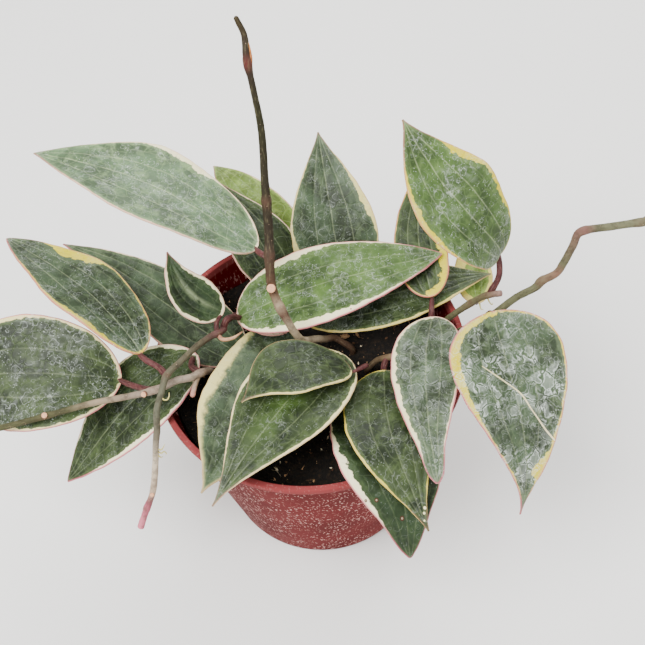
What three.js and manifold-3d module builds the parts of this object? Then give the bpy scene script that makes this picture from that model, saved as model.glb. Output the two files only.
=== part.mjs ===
// Variegated hoya macrophylla, a climbing plant with thick veined leaves, growing in a nursery pot.
// Millimetres, +Z up. The origin is the centre of the pot's base, and -Y is the front.

import * as THREE from 'three';
import { mergeVertices } from 'three/addons/utils/BufferGeometryUtils.js';
import Module from 'manifold-3d';

const wasm = await Module();
wasm.setup();

// Driving dimensions of the pot and its filling

const potHeight = 100;
const potSides = 40;
const rimRadius = 65;
const rimHeight = 3;
const lipWidth = 1.6;
const lipRound = 0.6;
const baseRadius = 45.5;
const baseRound = 1;
const wallThickness = 1.4;
const baseThickness = 1.6;
const drainHoles = 6;
const drainHoleRadius = 3.5;
const drainHoleCircle = 32;

const soilLevel = 85;
const soilEdge = 82;
const broadLump = { height: 1.1, x: 0.11, y: 0.13 };
const fineLump = { height: 0.55, x: 0.37, y: 0.29 };
const soilSides = 30;
const soilRings = [49, 37, 25, 12];
const gap = 0.3;

// Driving dimensions that the leaves and stems share

const bladeThickness = 1.2;
const smallestHalfWidth = 0.4;
const petioleRadius = 1.25;
const petioleSides = 6;
const petioleStep = 4;
const petioleTaper = 0.45;
const reachStep = 0.05;
const thinStem = 1.3;
const mainStem = 1.35;
const thickStem = 1.5;
const stemSides = 7;
const stemStep = 5.5;
const samplesPerStep = 8;
const stemTaperStart = 0.8;
const nodeSwelling = 1.3;
const holeSides = 10;

const fewestSteps = 3;
const weldDistance = 1e-4;
const tiny = 1e-3;

const up = new THREE.Vector3(0, 0, 1);

const potFinish = { color: '#8c3d36', roughness: 0.55 };
const soilFinish = { color: '#2b221c', roughness: 0.95 };
const leafFinish = { color: '#5f7f5c', roughness: 0.45 };
const stemFinish = { color: '#77644f', roughness: 0.7 };

// Booleans on closed meshes

function solidOf(geometry) {
  const bare = geometry.clone();
  bare.deleteAttribute('normal');
  bare.deleteAttribute('uv');
  const merged = mergeVertices(bare, weldDistance);
  const mesh = new wasm.Mesh({
    numProp: 3,
    vertProperties: new Float32Array(merged.attributes.position.array),
    triVerts: new Uint32Array(merged.index.array),
  });
  return new wasm.Manifold(mesh);
}

function geometryOf(solid) {
  const mesh = solid.getMesh();
  const geometry = new THREE.BufferGeometry();
  geometry.setAttribute('position', new THREE.BufferAttribute(mesh.vertProperties, 3));
  geometry.setIndex(new THREE.BufferAttribute(mesh.triVerts, 1));
  geometry.computeVertexNormals();
  return geometry;
}

function vector(point) {
  return new THREE.Vector3(...point);
}

function nearestIndex(points, target) {
  let nearest = 0;
  points.forEach((point, i) => {
    if (point.distanceTo(target) < points[nearest].distanceTo(target)) nearest = i;
  });
  return nearest;
}

function uprightHole(radius, x, y, bottom, top) {
  const hole = new THREE.CylinderGeometry(radius, radius, top - bottom, holeSides);
  hole.rotateX(Math.PI / 2);
  hole.translate(x, y, (top + bottom) / 2);
  return solidOf(hole);
}

// A round rod along a curve; thickness(k) scales its radius at station k

function rod(curve, radius, sides, steps, thickness = () => 1) {
  const corners = [];
  for (let i = 0; i < sides; i += 1) {
    const angle = (i / sides) * 2 * Math.PI;
    corners.push(new THREE.Vector2(radius * Math.cos(angle), radius * Math.sin(angle)));
  }
  const options = { steps, extrudePath: curve, bevelEnabled: false };
  const geometry = new THREE.ExtrudeGeometry(new THREE.Shape(corners), options);
  const stations = curve.getSpacedPoints(steps);
  const position = geometry.attributes.position;
  const vertex = new THREE.Vector3();
  for (let i = 0; i < position.count; i += 1) {
    vertex.fromBufferAttribute(position, i);
    const k = nearestIndex(stations, vertex);
    vertex.sub(stations[k]).multiplyScalar(thickness(k)).add(stations[k]);
    position.setXYZ(i, vertex.x, vertex.y, vertex.z);
  }
  return geometry;
}

// Pot: a thin tapered wall with a small lip, a flat base and a ring of drain holes

function wallRadius(z) {
  return baseRadius + ((rimRadius - lipWidth - baseRadius) * z) / (potHeight - rimHeight);
}

function innerRadius(z) {
  return wallRadius(z) - wallThickness;
}

function potGeometry() {
  const underLip = potHeight - rimHeight;
  const mouth = potHeight - lipRound;
  const profile = [
    [0, 0],
    [baseRadius - baseRound, 0],
    [baseRadius, baseRound],
    [wallRadius(underLip), underLip],
    [rimRadius, underLip + lipRound],
    [rimRadius, mouth],
    [rimRadius - lipRound, potHeight],
    [innerRadius(mouth) + lipRound, potHeight],
    [innerRadius(mouth), mouth],
    [innerRadius(baseThickness), baseThickness],
    [0, baseThickness],
  ];
  const points = profile.map(([radius, z]) => new THREE.Vector2(radius, z));
  const lathe = new THREE.LatheGeometry(points, potSides).rotateX(Math.PI / 2);
  let pot = solidOf(lathe);
  for (let i = 0; i < drainHoles; i += 1) {
    const angle = (i / drainHoles) * 2 * Math.PI;
    const x = drainHoleCircle * Math.cos(angle);
    const y = drainHoleCircle * Math.sin(angle);
    pot = pot.subtract(uprightHole(drainHoleRadius, x, y, -baseThickness, 2 * baseThickness));
  }
  return geometryOf(pot);
}

// Soil: fills the pot up to a lumpy surface, with a plain hole for each stem

function soilSurface(x, y) {
  const broad = broadLump.height * Math.sin(x * broadLump.x) * Math.cos(y * broadLump.y);
  const fine = fineLump.height * Math.sin(x * fineLump.x - y * fineLump.y);
  return soilLevel + broad + fine;
}

function soilGeometry() {
  const floor = baseThickness + gap;
  const outer = (z) => innerRadius(z) - 2 * gap;
  const profile = [
    [0, floor],
    [outer(floor), floor],
    [outer(soilEdge), soilEdge],
    [outer(soilLevel) - gap, soilLevel],
    ...soilRings.map((radius) => [radius, soilLevel]),
    [0, soilLevel],
  ];
  const points = profile.map(([radius, z]) => new THREE.Vector2(radius, z));
  const lathe = new THREE.LatheGeometry(points, soilSides).rotateX(Math.PI / 2);
  const position = lathe.attributes.position;
  for (let i = 0; i < position.count; i += 1) {
    const x = position.getX(i);
    const y = position.getY(i);
    if (position.getZ(i) > soilEdge + gap) position.setZ(i, soilSurface(x, y));
  }
  let soil = solidOf(lathe);
  for (const { route, radius } of stems) {
    const [x, y, bottom] = route[0];
    soil = soil.subtract(uprightHole(radius * nodeSwelling + 2 * gap, x, y, bottom - gap, potHeight));
  }
  return geometryOf(soil);
}

// Stems: each starts in the soil and swells at its nodes, where leaves grow or grew

function stemForm(stem) {
  const curve = new THREE.CatmullRomCurve3(stem.route.map(vector));
  const steps = Math.max(fewestSteps, Math.round(curve.getLength() / stemStep));
  const stations = curve.getSpacedPoints(steps);
  const joints = leaves.filter((leaf) => leaf.stem === stem.name).map((leaf) => leaf.joint);
  const nodes = [...joints, ...(stem.scars ?? [])].map((point) => nearestIndex(stations, vector(point)));
  const thickness = (k) => {
    const end = Math.max(0, k / steps - stemTaperStart) / (1 - stemTaperStart);
    const taper = 1 - (1 - (stem.tipScale ?? 1)) * end;
    return nodes.includes(k) ? taper * nodeSwelling : taper;
  };
  const samples = curve.getSpacedPoints(steps * samplesPerStep);
  return { curve, steps, stations, samples, thickness };
}

function stemGeometry(stem) {
  const { curve, steps, thickness } = stemForm(stem);
  let solid = solidOf(rod(curve, stem.radius, stemSides, steps, thickness));
  for (const { route, radius, steps: stubSteps } of stem.stubs ?? []) {
    const stub = new THREE.CatmullRomCurve3(route.map(vector));
    solid = solid.add(solidOf(rod(stub, radius, petioleSides, stubSteps)));
  }
  return geometryOf(solid);
}

// Leaf blade: the half width follows the outline from the base (t = 0) to the pointed tip (t = 1),
// and v runs across it from one edge (-1) to the other (1)

const bladeStations = [0, 0.04, 0.1, 0.2, 0.32, 0.45, 0.58, 0.7, 0.82, 0.92, 1];
const bladeColumns = [-1, -0.5, 0, 0.5, 1];

const bladeForm = {
  roll: 0,
  twist: 0,
  arch: 0,
  skew: 1,
  cup: 0.12,
  sway: 0,
  wave: 0,
  widest: 0.38,
  taper: 1.3,
};

const baseCurve = 2.2;
const baseFullness = 0.55;
const tipCurve = 1.7;
const cupCurve = 1.5;
const ripplesPerBlade = 2;
const ripplePhase = 1.3;
const petioleRoot = 0.02;
const petioleAnchor = 0.12;

function outlineWidth(t, widest, taper) {
  if (t < widest) return (1 - (1 - t / widest) ** baseCurve) ** baseFullness;
  return (1 - ((t - widest) / (1 - widest)) ** tipCurve) ** taper;
}

function bladeFrame(leaf) {
  const base = vector(leaf.base);
  const along = vector(leaf.tip).sub(base);
  const length = along.length();
  along.normalize();
  const level = new THREE.Vector3().crossVectors(along, up).normalize();
  const face = new THREE.Vector3().crossVectors(level, along);
  const roll = THREE.MathUtils.degToRad(leaf.roll);
  const side = level.clone().multiplyScalar(Math.cos(roll)).addScaledVector(face, Math.sin(roll));
  const normal = face.multiplyScalar(Math.cos(roll)).addScaledVector(level, -Math.sin(roll));
  return { base, along, side, normal, length };
}

function midrib(leaf, frame, t) {
  return frame.base
    .clone()
    .addScaledVector(frame.along, frame.length * t)
    .addScaledVector(frame.normal, leaf.arch * Math.sin(Math.PI * t ** leaf.skew))
    .addScaledVector(frame.side, leaf.sway * Math.sin(Math.PI * t));
}

function bladePoint(leaf, frame, t, v, lift) {
  const ahead = midrib(leaf, frame, Math.min(1, t + tiny));
  const behind = midrib(leaf, frame, Math.max(0, t - tiny));
  const tangent = ahead.sub(behind).normalize();
  const turn = THREE.MathUtils.degToRad(leaf.twist) * t;
  const side = frame.side.clone().multiplyScalar(Math.cos(turn));
  side.addScaledVector(frame.normal, Math.sin(turn));
  side.addScaledVector(tangent, -side.dot(tangent)).normalize();
  const normal = new THREE.Vector3().crossVectors(side, tangent);
  const halfWidth = (leaf.width / 2) * outlineWidth(t, leaf.widest, leaf.taper) + smallestHalfWidth;
  const ripple = Math.sin(2 * Math.PI * ripplesPerBlade * t + ripplePhase * Math.sign(v));
  const wave = leaf.wave * ripple * v * v * Math.sin(Math.PI * t);
  const rise = leaf.cup * halfWidth * Math.abs(v) ** cupCurve + wave;
  return midrib(leaf, frame, t).addScaledVector(side, halfWidth * v).addScaledVector(normal, rise + lift);
}

function bladeGeometry(leaf, frame) {
  const rows = bladeStations.length;
  const columns = bladeColumns.length;
  const positions = [];
  for (const lift of [bladeThickness / 2, -bladeThickness / 2]) {
    for (const t of bladeStations) {
      for (const v of bladeColumns) {
        positions.push(...bladePoint(leaf, frame, t, v, lift).toArray());
      }
    }
  }
  const top = (i, j) => i * columns + j;
  const under = (i, j) => rows * columns + i * columns + j;
  const indices = [];
  const quad = (a, b, c, d) => indices.push(a, b, c, a, c, d);
  for (let i = 0; i < rows - 1; i += 1) {
    for (let j = 0; j < columns - 1; j += 1) {
      quad(top(i, j), top(i, j + 1), top(i + 1, j + 1), top(i + 1, j));
      indices.push(under(i, j), under(i + 1, j + 1), under(i, j + 1));
      indices.push(under(i, j), under(i + 1, j), under(i + 1, j + 1));
    }
    quad(top(i, 0), top(i + 1, 0), under(i + 1, 0), under(i, 0));
    quad(top(i + 1, columns - 1), top(i, columns - 1), under(i, columns - 1), under(i + 1, columns - 1));
  }
  for (let j = 0; j < columns - 1; j += 1) {
    quad(top(0, j + 1), top(0, j), under(0, j), under(0, j + 1));
    quad(top(rows - 1, j), top(rows - 1, j + 1), under(rows - 1, j + 1), under(rows - 1, j));
  }
  const geometry = new THREE.BufferGeometry();
  geometry.setAttribute('position', new THREE.Float32BufferAttribute(positions, 3));
  geometry.setIndex(indices);
  return geometry;
}

// How far a point lies from a stem's surface

function clearance(stem, { samples, thickness }, point) {
  const surface = samples.map((sample, i) => {
    const k = i / samplesPerStep;
    const scale = THREE.MathUtils.lerp(thickness(Math.floor(k)), thickness(Math.ceil(k)), k % 1);
    return point.distanceTo(sample) - stem.radius * scale;
  });
  return Math.min(...surface);
}

// The end of a petiole at its stem's node: as near as its round end can come with the gap kept

function petioleStart(leaf, toward, radius) {
  const stem = stems.find(({ name }) => name === leaf.stem);
  const form = stemForm(stem);
  const node = form.stations[nearestIndex(form.stations, vector(leaf.joint))];
  const direction = toward.clone().sub(node).normalize();
  const across = new THREE.Vector3().crossVectors(direction, up).normalize().multiplyScalar(radius);
  const start = node.clone();
  let free = false;
  while (!free) {
    start.addScaledVector(direction, reachStep);
    free = true;
    for (let i = 0; i < petioleSides; i += 1) {
      const corner = across.clone().applyAxisAngle(direction, (i / petioleSides) * 2 * Math.PI);
      if (clearance(stem, form, corner.add(start)) < gap) free = false;
    }
  }
  return start;
}

// A leaf is its blade and the petiole that holds it, sunk well into the underside of the blade

function leafGeometry(spec) {
  const leaf = { ...bladeForm, ...spec };
  const frame = bladeFrame(leaf);
  const radius = leaf.petioleRadius ?? petioleRadius;
  const bends = leaf.bends.map(vector);
  const root = bladePoint(leaf, frame, petioleRoot, 0, -bladeThickness / 2);
  const anchor = bladePoint(leaf, frame, petioleAnchor, 0, -bladeThickness / 2);
  const start = petioleStart(leaf, bends[0], radius);
  const curve = new THREE.CatmullRomCurve3([start, ...bends, root, anchor]);
  const steps = Math.max(fewestSteps, Math.round(curve.getLength() / petioleStep));
  const thickness = (k) => 1 - petioleTaper * Math.max(0, (2 * k) / steps - 1);
  const petiole = rod(curve, radius, petioleSides, steps, thickness);
  return geometryOf(solidOf(bladeGeometry(leaf, frame)).add(solidOf(petiole)));
}

const stems = [
  {
    name: 'stem_tall_shoot',
    radius: mainStem,
    tipScale: 0.35,
    route: [
      [18, 7, 76], [18, 7, 82], [18, 7, 88], [14, 9, 91], [11, 10, 93], [7, 7, 97], [4, 4, 102],
      [-2, -1, 109], [-4, -3, 115], [-6, -2, 120], [-10, 5, 126], [-12, 10, 131], [-12, 15, 138],
      [-11, 24, 147], [-10, 35, 167], [-9, 43, 185], [-10, 48, 200], [-11, 52, 211], [-11, 58, 217],
      [-13, 60, 223],
    ],
    scars: [[-9, 3, 125], [-10.5, 32, 161], [-11, 51, 209]],
    stubs: [{ radius: 1.5, route: [[-12, 10, 131], [-12.3, 8.2, 133.4]], steps: 1 }],
  },
  {
    name: 'stem_hanging',
    radius: thinStem,
    tipScale: 0.9,
    route: [
      [-22, 28, 76], [-22, 28, 82], [-22, 28, 88], [-24, 26, 94], [-26, 24, 98], [-31, 21, 101],
      [-35, 15, 104], [-35, 9, 108], [-40, 4, 111], [-46, -4, 115], [-51, -11, 117], [-56, -18, 119],
      [-58, -27, 120], [-60, -33, 118], [-61, -38, 112], [-63, -40, 104], [-65, -41, 94],
      [-70, -45, 74], [-74, -48, 66], [-78, -52, 58],
    ],
    scars: [[-74, -48, 66]],
    stubs: [
      { radius: 0.9, route: [[-37, 6, 109], [-35, 3.5, 109], [-31, 4, 108.5], [-27, 7, 108]], steps: 4 },
    ],
  },
  {
    name: 'stem_left_runner',
    radius: thickStem,
    tipScale: 0.35,
    route: [
      [-25, 0, 76], [-25, 0, 82], [-26, 0, 87], [-30, -1, 90], [-35, -2, 93], [-38, -4, 96],
      [-40, -6, 99], [-41.5, -8, 104], [-44.5, -12, 109], [-48, -15, 111], [-53, -17, 113],
      [-58, -20, 114], [-65, -22, 114], [-76, -22, 112], [-86, -23, 112], [-104, -26, 111],
      [-123, -29, 110], [-137, -30, 109], [-148, -28, 107],
    ],
    scars: [[-104, -26, 111], [-137, -30, 109]],
    stubs: [
      { radius: 1.2, route: [[-45, -12, 109], [-47, -18, 108.2], [-47.7, -21.5, 108.3]], steps: 2 },
      { radius: 1.5, route: [[-65, -22, 114], [-66, -25, 116]], steps: 1 },
    ],
  },
  {
    name: 'stem_right_short',
    radius: thickStem,
    route: [
      [53, 12, 76], [53, 12, 82], [53, 12, 87], [55, 9, 93], [56, 7, 98], [59, 5, 106], [68, 7, 112],
      [74, 5, 119], [79, 3, 122],
    ],
  },
  {
    name: 'stem_right_runner',
    radius: thickStem,
    tipScale: 0.35,
    route: [
      [52, 2, 76], [52, 2, 82], [52, 2, 88], [56, -1, 97], [60, -4, 107], [63, -6, 112],
      [73, -3, 114], [86, 4, 117], [94, 6, 120], [96, 7, 122], [102, 8, 125], [105, 10, 129],
      [109, 14, 135], [111, 16, 139], [124, 16, 141], [136, 15, 143], [147, 14.5, 144.5], [156, 14, 147],
    ],
    scars: [[95, 6, 121], [111, 16, 139], [136, 15, 143]],
    stubs: [{ radius: 0.9, route: [[134, 15, 143], [140, 17.5, 145], [147, 19.5, 147]], steps: 2 }],
  },
  { name: 'stem_back_stub', radius: mainStem, route: [[-2, 38, 76], [-2, 38, 84], [-4, 38, 94]] },
  { name: 'stem_back_right_stub', radius: mainStem, route: [[11, 43, 76], [11, 43, 84], [10, 43, 92]] },
  { name: 'stem_middle_stub', radius: mainStem, route: [[-5, 28, 76], [-5, 28, 84], [-5, 27, 95]] },
  {
    name: 'stem_front_left_stub',
    radius: mainStem,
    route: [[18, -7, 76], [18, -7, 86], [17, -10, 93], [17, -10, 100]],
  },
  {
    name: 'stem_front_right_stub',
    radius: mainStem,
    route: [[23, -3, 76], [23, -3, 82], [24, -4, 88], [28, -3, 92], [32, -5, 96], [37, -6, 99]],
  },
];

const leaves = [
  {
    name: 'leaf_back_left_long',
    base: [-17, 30, 133], tip: [-105, 72, 158], width: 40,
    roll: -7, arch: 11, sway: -1, wave: 0.8, widest: 0.51, taper: 1.2,
    stem: 'stem_tall_shoot', joint: [-12, 18, 138], bends: [[-14, 24, 135]],
  },
  {
    name: 'leaf_back_left_under',
    base: [-7, 35, 96.5], tip: [-35, 84, 119.5], width: 31,
    roll: -8, arch: 4, skew: 0.8, cup: 0.05, widest: 0.34,
    stem: 'stem_back_stub', joint: [-3, 38, 89], bends: [[-7, 36, 92]],
  },
  {
    name: 'leaf_back_left_far',
    base: [0, 47, 95], tip: [-37, 104, 109], width: 29,
    roll: 2, arch: 11.5, skew: 1.3, sway: -2, cup: 0.05, widest: 0.31, taper: 1.1,
    stem: 'stem_back_stub', joint: [-3, 38, 89], bends: [[-1, 42, 91]],
  },
  {
    name: 'leaf_back_upright',
    base: [18, 34, 92], tip: [13, 90, 137], width: 38,
    roll: 8, arch: 5, skew: 1.1,
    stem: 'stem_back_right_stub', joint: [11, 43, 88], bends: [[15, 38, 89]],
  },
  {
    name: 'leaf_middle_right',
    base: [-29, 18, 102], tip: [59, 28, 120], width: 37,
    roll: -8, arch: 4.6, skew: 0.6, sway: -1.5, cup: 0.06, widest: 0.39, taper: 0.9,
    stem: 'stem_hanging', joint: [-35, 10, 107.5], bends: [[-33, 12, 111], [-30, 16, 107]],
  },
  {
    name: 'leaf_middle_bud',
    base: [-7, 16, 99], tip: [-26, 15, 101], width: 10,
    arch: 1, sway: -2, cup: 0, petioleRadius: 0.9,
    stem: 'stem_middle_stub', joint: [-5, 27, 93], bends: [[-6, 21, 95]],
  },
  {
    name: 'leaf_right_low',
    base: [-2, 21, 95], tip: [80, 25, 107], width: 30,
    roll: -7, arch: 4, skew: 1.3, sway: 1, cup: 0.05, widest: 0.49,
    stem: 'stem_middle_stub', joint: [-5, 28, 89], bends: [[-2, 25, 91]],
  },
  {
    name: 'leaf_right_upright',
    base: [53, 13, 111], tip: [58, 70, 132], width: 22,
    roll: 8, arch: 0.5, sway: -4.5, cup: 0, widest: 0.3, taper: 0.9,
    stem: 'stem_right_short', joint: [56, 7, 98], bends: [[52, 4.5, 101], [52, 7.5, 108]],
  },
  {
    name: 'leaf_right_tall',
    base: [80, 16, 131], tip: [44, 42, 184], width: 37,
    roll: 3, twist: 25, arch: 8, skew: 0.7, sway: -8, wave: 0.8, widest: 0.52, taper: 1.4,
    stem: 'stem_right_short', joint: [75, 5, 119], bends: [[79, 9, 126]],
  },
  {
    name: 'leaf_right_small',
    base: [73, 16, 99], tip: [74, 50, 107], width: 16,
    arch: 1, cup: 0, petioleRadius: 1,
    stem: 'stem_right_short', joint: [68, 7, 112], bends: [[70, 11, 108], [72, 14, 103]],
  },
  {
    name: 'leaf_left_young',
    base: [-34, 15, 112], tip: [-54, 33, 133], width: 18,
    roll: 11, arch: 1, sway: -5, petioleRadius: 0.9,
    stem: 'stem_hanging', joint: [-38, 6, 109.5], bends: [[-37, 10, 112]],
  },
  {
    name: 'leaf_left_back',
    base: [-29, 8, 89], tip: [-104, 61, 113], width: 36,
    roll: -7, arch: 8, skew: 1.6, sway: -2, cup: 0.05, widest: 0.28,
    stem: 'stem_left_runner', joint: [-30, -1, 89], bends: [[-28, 3, 90]],
  },
  {
    name: 'leaf_left_raised',
    base: [-67, -6, 118], tip: [-123, 52, 130], width: 33,
    roll: -22, arch: 3, skew: 0.7, sway: 4, wave: 0.8, widest: 0.49, taper: 0.9,
    stem: 'stem_hanging', joint: [-55, -17, 118.5], bends: [[-59, -14, 118], [-65, -9, 118]],
  },
  {
    name: 'leaf_left_far',
    base: [-77, -10, 107], tip: [-173, 1, 96], width: 48,
    roll: 25, arch: 10, skew: 0.8, sway: 4, wave: 0.8, widest: 0.4, taper: 2,
    stem: 'stem_left_runner', joint: [-65, -22, 114], bends: [[-67, -18, 111], [-72, -14, 108]],
  },
  {
    name: 'leaf_left_front',
    base: [-47, 2, 102], tip: [-105, -37, 76], width: 36,
    arch: 10, skew: 0.7, sway: -1, cup: 0.02, widest: 0.37, taper: 1,
    stem: 'stem_left_runner', joint: [-46, -13, 110], bends: [[-48, -8, 108]],
  },
  {
    name: 'leaf_front_left_low',
    base: [-12, 20, 91], tip: [-46, -61, 100], width: 39,
    roll: 9, arch: 9, skew: 0.9, sway: -4, cup: 0.05, widest: 0.62, taper: 1.6, petioleRadius: 1.1,
    stem: 'stem_middle_stub', joint: [-5, 28, 88], bends: [[-8, 25, 89]],
  },
  {
    name: 'leaf_front_left',
    base: [13, -5, 102], tip: [-41, -70, 106], width: 40,
    roll: -1, arch: 12, sway: -1, cup: 0.05, widest: 0.43, taper: 1.7,
    stem: 'stem_front_left_stub', joint: [17, -10, 96], bends: [[14, -10, 99]],
  },
  {
    name: 'leaf_front_left_top',
    base: [16, -20, 111], tip: [-27, -36, 122], width: 26,
    arch: 5, sway: 6, cup: 0.05, widest: 0.59, taper: 1.8,
    stem: 'stem_front_left_stub', joint: [17, -10, 97], bends: [[21, -11, 100], [22, -16, 108]],
  },
  {
    name: 'leaf_front_right',
    base: [30, -12, 97], tip: [38, -84, 96], width: 34,
    roll: 2, arch: 12, skew: 1.1, sway: 6, cup: 0.05, widest: 0.44, taper: 1.5,
    stem: 'stem_front_right_stub', joint: [31, -4, 95], bends: [[30, -9, 95]],
  },
  {
    name: 'leaf_front_right_low',
    base: [16, -18, 93], tip: [31, -86, 78], width: 40,
    roll: 2, arch: 20, skew: 1.3, sway: -2, cup: 0.05, widest: 0.51, taper: 1.2,
    stem: 'stem_front_left_stub', joint: [17, -10, 91], bends: [[17, -14, 91]],
  },
  {
    name: 'leaf_right_front',
    base: [52, 3, 110], tip: [43, -71, 108], width: 28,
    roll: -8, arch: 7, skew: 0.8, sway: 3, cup: 0, widest: 0.32, taper: 1.2,
    stem: 'stem_right_runner', joint: [58, -2, 100], bends: [[55, 0, 104], [53, 2, 109]],
  },
  {
    name: 'leaf_right_outer',
    base: [73, -9, 127], tip: [78, -68, 68], width: 46,
    roll: 4, arch: 16, skew: 1.3, sway: -1, wave: 0.8, widest: 0.22, taper: 2,
    stem: 'stem_right_runner', joint: [73, -3, 114], bends: [[73, -5, 120]],
  },
];

// Assembly

function part(name, geometry, finish) {
  const material = new THREE.MeshStandardMaterial({ ...finish, metalness: 0 });
  const mesh = new THREE.Mesh(geometry, material);
  mesh.name = name;
  return mesh;
}

const plant = new THREE.Group();
plant.name = 'variegated_hoya';
plant.add(part('pot', potGeometry(), potFinish));
plant.add(part('soil', soilGeometry(), soilFinish));
for (const stem of stems) {
  plant.add(part(stem.name, stemGeometry(stem), stemFinish));
}
for (const leaf of leaves) {
  plant.add(part(leaf.name, leafGeometry(leaf), leafFinish));
}

export default plant;
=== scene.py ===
import math
import random

import bmesh
import bpy
import numpy as np
from mathutils import Matrix, Vector, noise


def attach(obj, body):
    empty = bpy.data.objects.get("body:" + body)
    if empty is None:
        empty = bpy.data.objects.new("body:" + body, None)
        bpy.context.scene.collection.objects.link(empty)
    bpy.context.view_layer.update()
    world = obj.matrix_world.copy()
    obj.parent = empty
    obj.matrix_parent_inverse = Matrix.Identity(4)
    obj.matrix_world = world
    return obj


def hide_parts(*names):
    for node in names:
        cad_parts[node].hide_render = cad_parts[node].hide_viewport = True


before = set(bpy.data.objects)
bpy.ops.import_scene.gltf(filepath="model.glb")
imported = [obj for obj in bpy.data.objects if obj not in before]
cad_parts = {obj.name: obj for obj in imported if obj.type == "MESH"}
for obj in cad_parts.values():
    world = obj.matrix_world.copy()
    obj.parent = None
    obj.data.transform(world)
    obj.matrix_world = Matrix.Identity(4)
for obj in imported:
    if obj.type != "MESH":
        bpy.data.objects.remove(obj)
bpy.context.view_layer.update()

mm = 0.001
up = np.array([0.0, 0.0, 1.0])
random.seed(41)


# shader sums: a Wire is a socket, and 1 - mask or mask * 0.3 adds its own Math node
class Wire:
    def __init__(self, finish, socket):
        self.finish = finish
        self.socket = socket

    def math(self, operation, *values):
        return self.finish.node("ShaderNodeMath", {"operation": operation}, dict(enumerate(values)))

    def __add__(self, other):
        return self.math("ADD", self, other)

    def __radd__(self, other):
        return self.math("ADD", other, self)

    def __sub__(self, other):
        return self.math("SUBTRACT", self, other)

    def __rsub__(self, other):
        return self.math("SUBTRACT", other, self)

    def __mul__(self, other):
        return self.math("MULTIPLY", self, other)

    def __rmul__(self, other):
        return self.math("MULTIPLY", other, self)

    def size(self):
        return self.math("ABSOLUTE", self)

    def least(self, other):
        return self.math("MINIMUM", self, other)

    def most(self, other):
        return self.math("MAXIMUM", self, other)

    def rise(self, low, high):  # 0 below low, 1 above high, smooth between; high < low turns it round
        ends = {"Value": self, "From Min": min(low, high), "From Max": max(low, high)}
        ends.update({"To Min": 0.0, "To Max": 1.0} if low < high else {"To Min": 1.0, "To Max": 0.0})
        return self.finish.node("ShaderNodeMapRange", {"interpolation_type": "SMOOTHSTEP"}, ends)

    def hump(self, centre, spread):  # 1 at centre, 0 beyond spread
        return (self - centre).size().rise(spread, 0.0)


class Finish:
    def __init__(self, name, **sockets):
        self.material = bpy.data.materials.new(name)
        self.material.use_nodes = True
        self.tree = self.material.node_tree
        self.tree.nodes.clear()
        self.shader = self.tree.nodes.new("ShaderNodeBsdfPrincipled")
        output = self.tree.nodes.new("ShaderNodeOutputMaterial")
        self.tree.links.new(self.shader.outputs[0], output.inputs[0])
        self.feed(self.shader, sockets)

    def feed(self, made, sockets):
        for key, value in sockets.items():
            if isinstance(value, Wire):
                self.tree.links.new(value.socket, made.inputs[key])
            else:
                made.inputs[key].default_value = value

    def node(self, kind, settings=None, sockets=None, out=0):
        made = self.tree.nodes.new(kind)
        for key, value in (settings or {}).items():
            if key == "stops":
                self.setStops(made.color_ramp, value)
            else:
                setattr(made, key, value)
        self.feed(made, sockets or {})
        return Wire(self, made.outputs[out])

    def setStops(self, ramp, stops):
        while len(ramp.elements) < len(stops):
            ramp.elements.new(0.5)
        for element, (place, colour) in zip(ramp.elements, stops):
            element.position = place
            element.color = colour

    def attribute(self, name, out="Fac"):
        return self.node("ShaderNodeAttribute", {"attribute_name": name}, out=out)

    def place(self):  # object coordinates in millimetres
        metres = self.node("ShaderNodeTexCoord", out="Object")
        return self.node("ShaderNodeVectorMath", {"operation": "SCALE"}, {0: metres, "Scale": 1 / mm})

    def stretched(self, vector, factors):
        return self.node("ShaderNodeVectorMath", {"operation": "MULTIPLY"}, {0: vector, 1: factors})

    def grain(self, vector, size, detail=2.0, roughness=0.5):
        sockets = {"Vector": vector, "Scale": 1 / size, "Detail": detail, "Roughness": roughness}
        return self.node("ShaderNodeTexNoise", {}, sockets)

    def cells(self, vector, size, feature="F1"):
        sockets = {"Vector": vector, "Scale": 1 / size}
        return self.node("ShaderNodeTexVoronoi", {"feature": feature}, sockets, "Distance")

    def warped(self, vector, size, reach):
        swirl = self.node("ShaderNodeTexNoise", {}, {"Vector": vector, "Scale": 1 / size}, "Color")
        sockets = {0: swirl, 1: (reach,) * 3, 2: vector}
        return self.node("ShaderNodeVectorMath", {"operation": "MULTIPLY_ADD"}, sockets)

    def blend(self, mask, first, second):
        return self.node("ShaderNodeMix", {"data_type": "RGBA"}, {0: mask, 6: first, 7: second}, 2)

    def ramp(self, share, stops):
        colours = [(place, tint(code)) for place, code in stops]
        return self.node("ShaderNodeValToRGB", {"stops": colours}, {0: share})

    def bump(self, height, distance, strength):
        sockets = {"Height": height, "Distance": distance * mm, "Strength": strength}
        return self.node("ShaderNodeBump", {}, sockets)

    def wear(self, **sockets):
        named = {"colour": "Base Color", "roughness": "Roughness", "normal": "Normal"}
        self.feed(self.shader, {named[key]: value for key, value in sockets.items()})
        return self.material


def tint(code):  # a hex colour as the shader's linear one
    levels = [int(code[i:i + 2], 16) / 255 for i in (0, 2, 4)]
    return (*[c / 12.92 if c <= 0.04045 else ((c + 0.055) / 1.055) ** 2.4 for c in levels], 1.0)


def unit(vectors):
    return vectors / np.linalg.norm(vectors, axis=-1, keepdims=True)


def fade(x, low, high):
    x = np.clip((x - low) / (high - low), 0, 1)
    return x * x * (3 - 2 * x)


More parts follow.
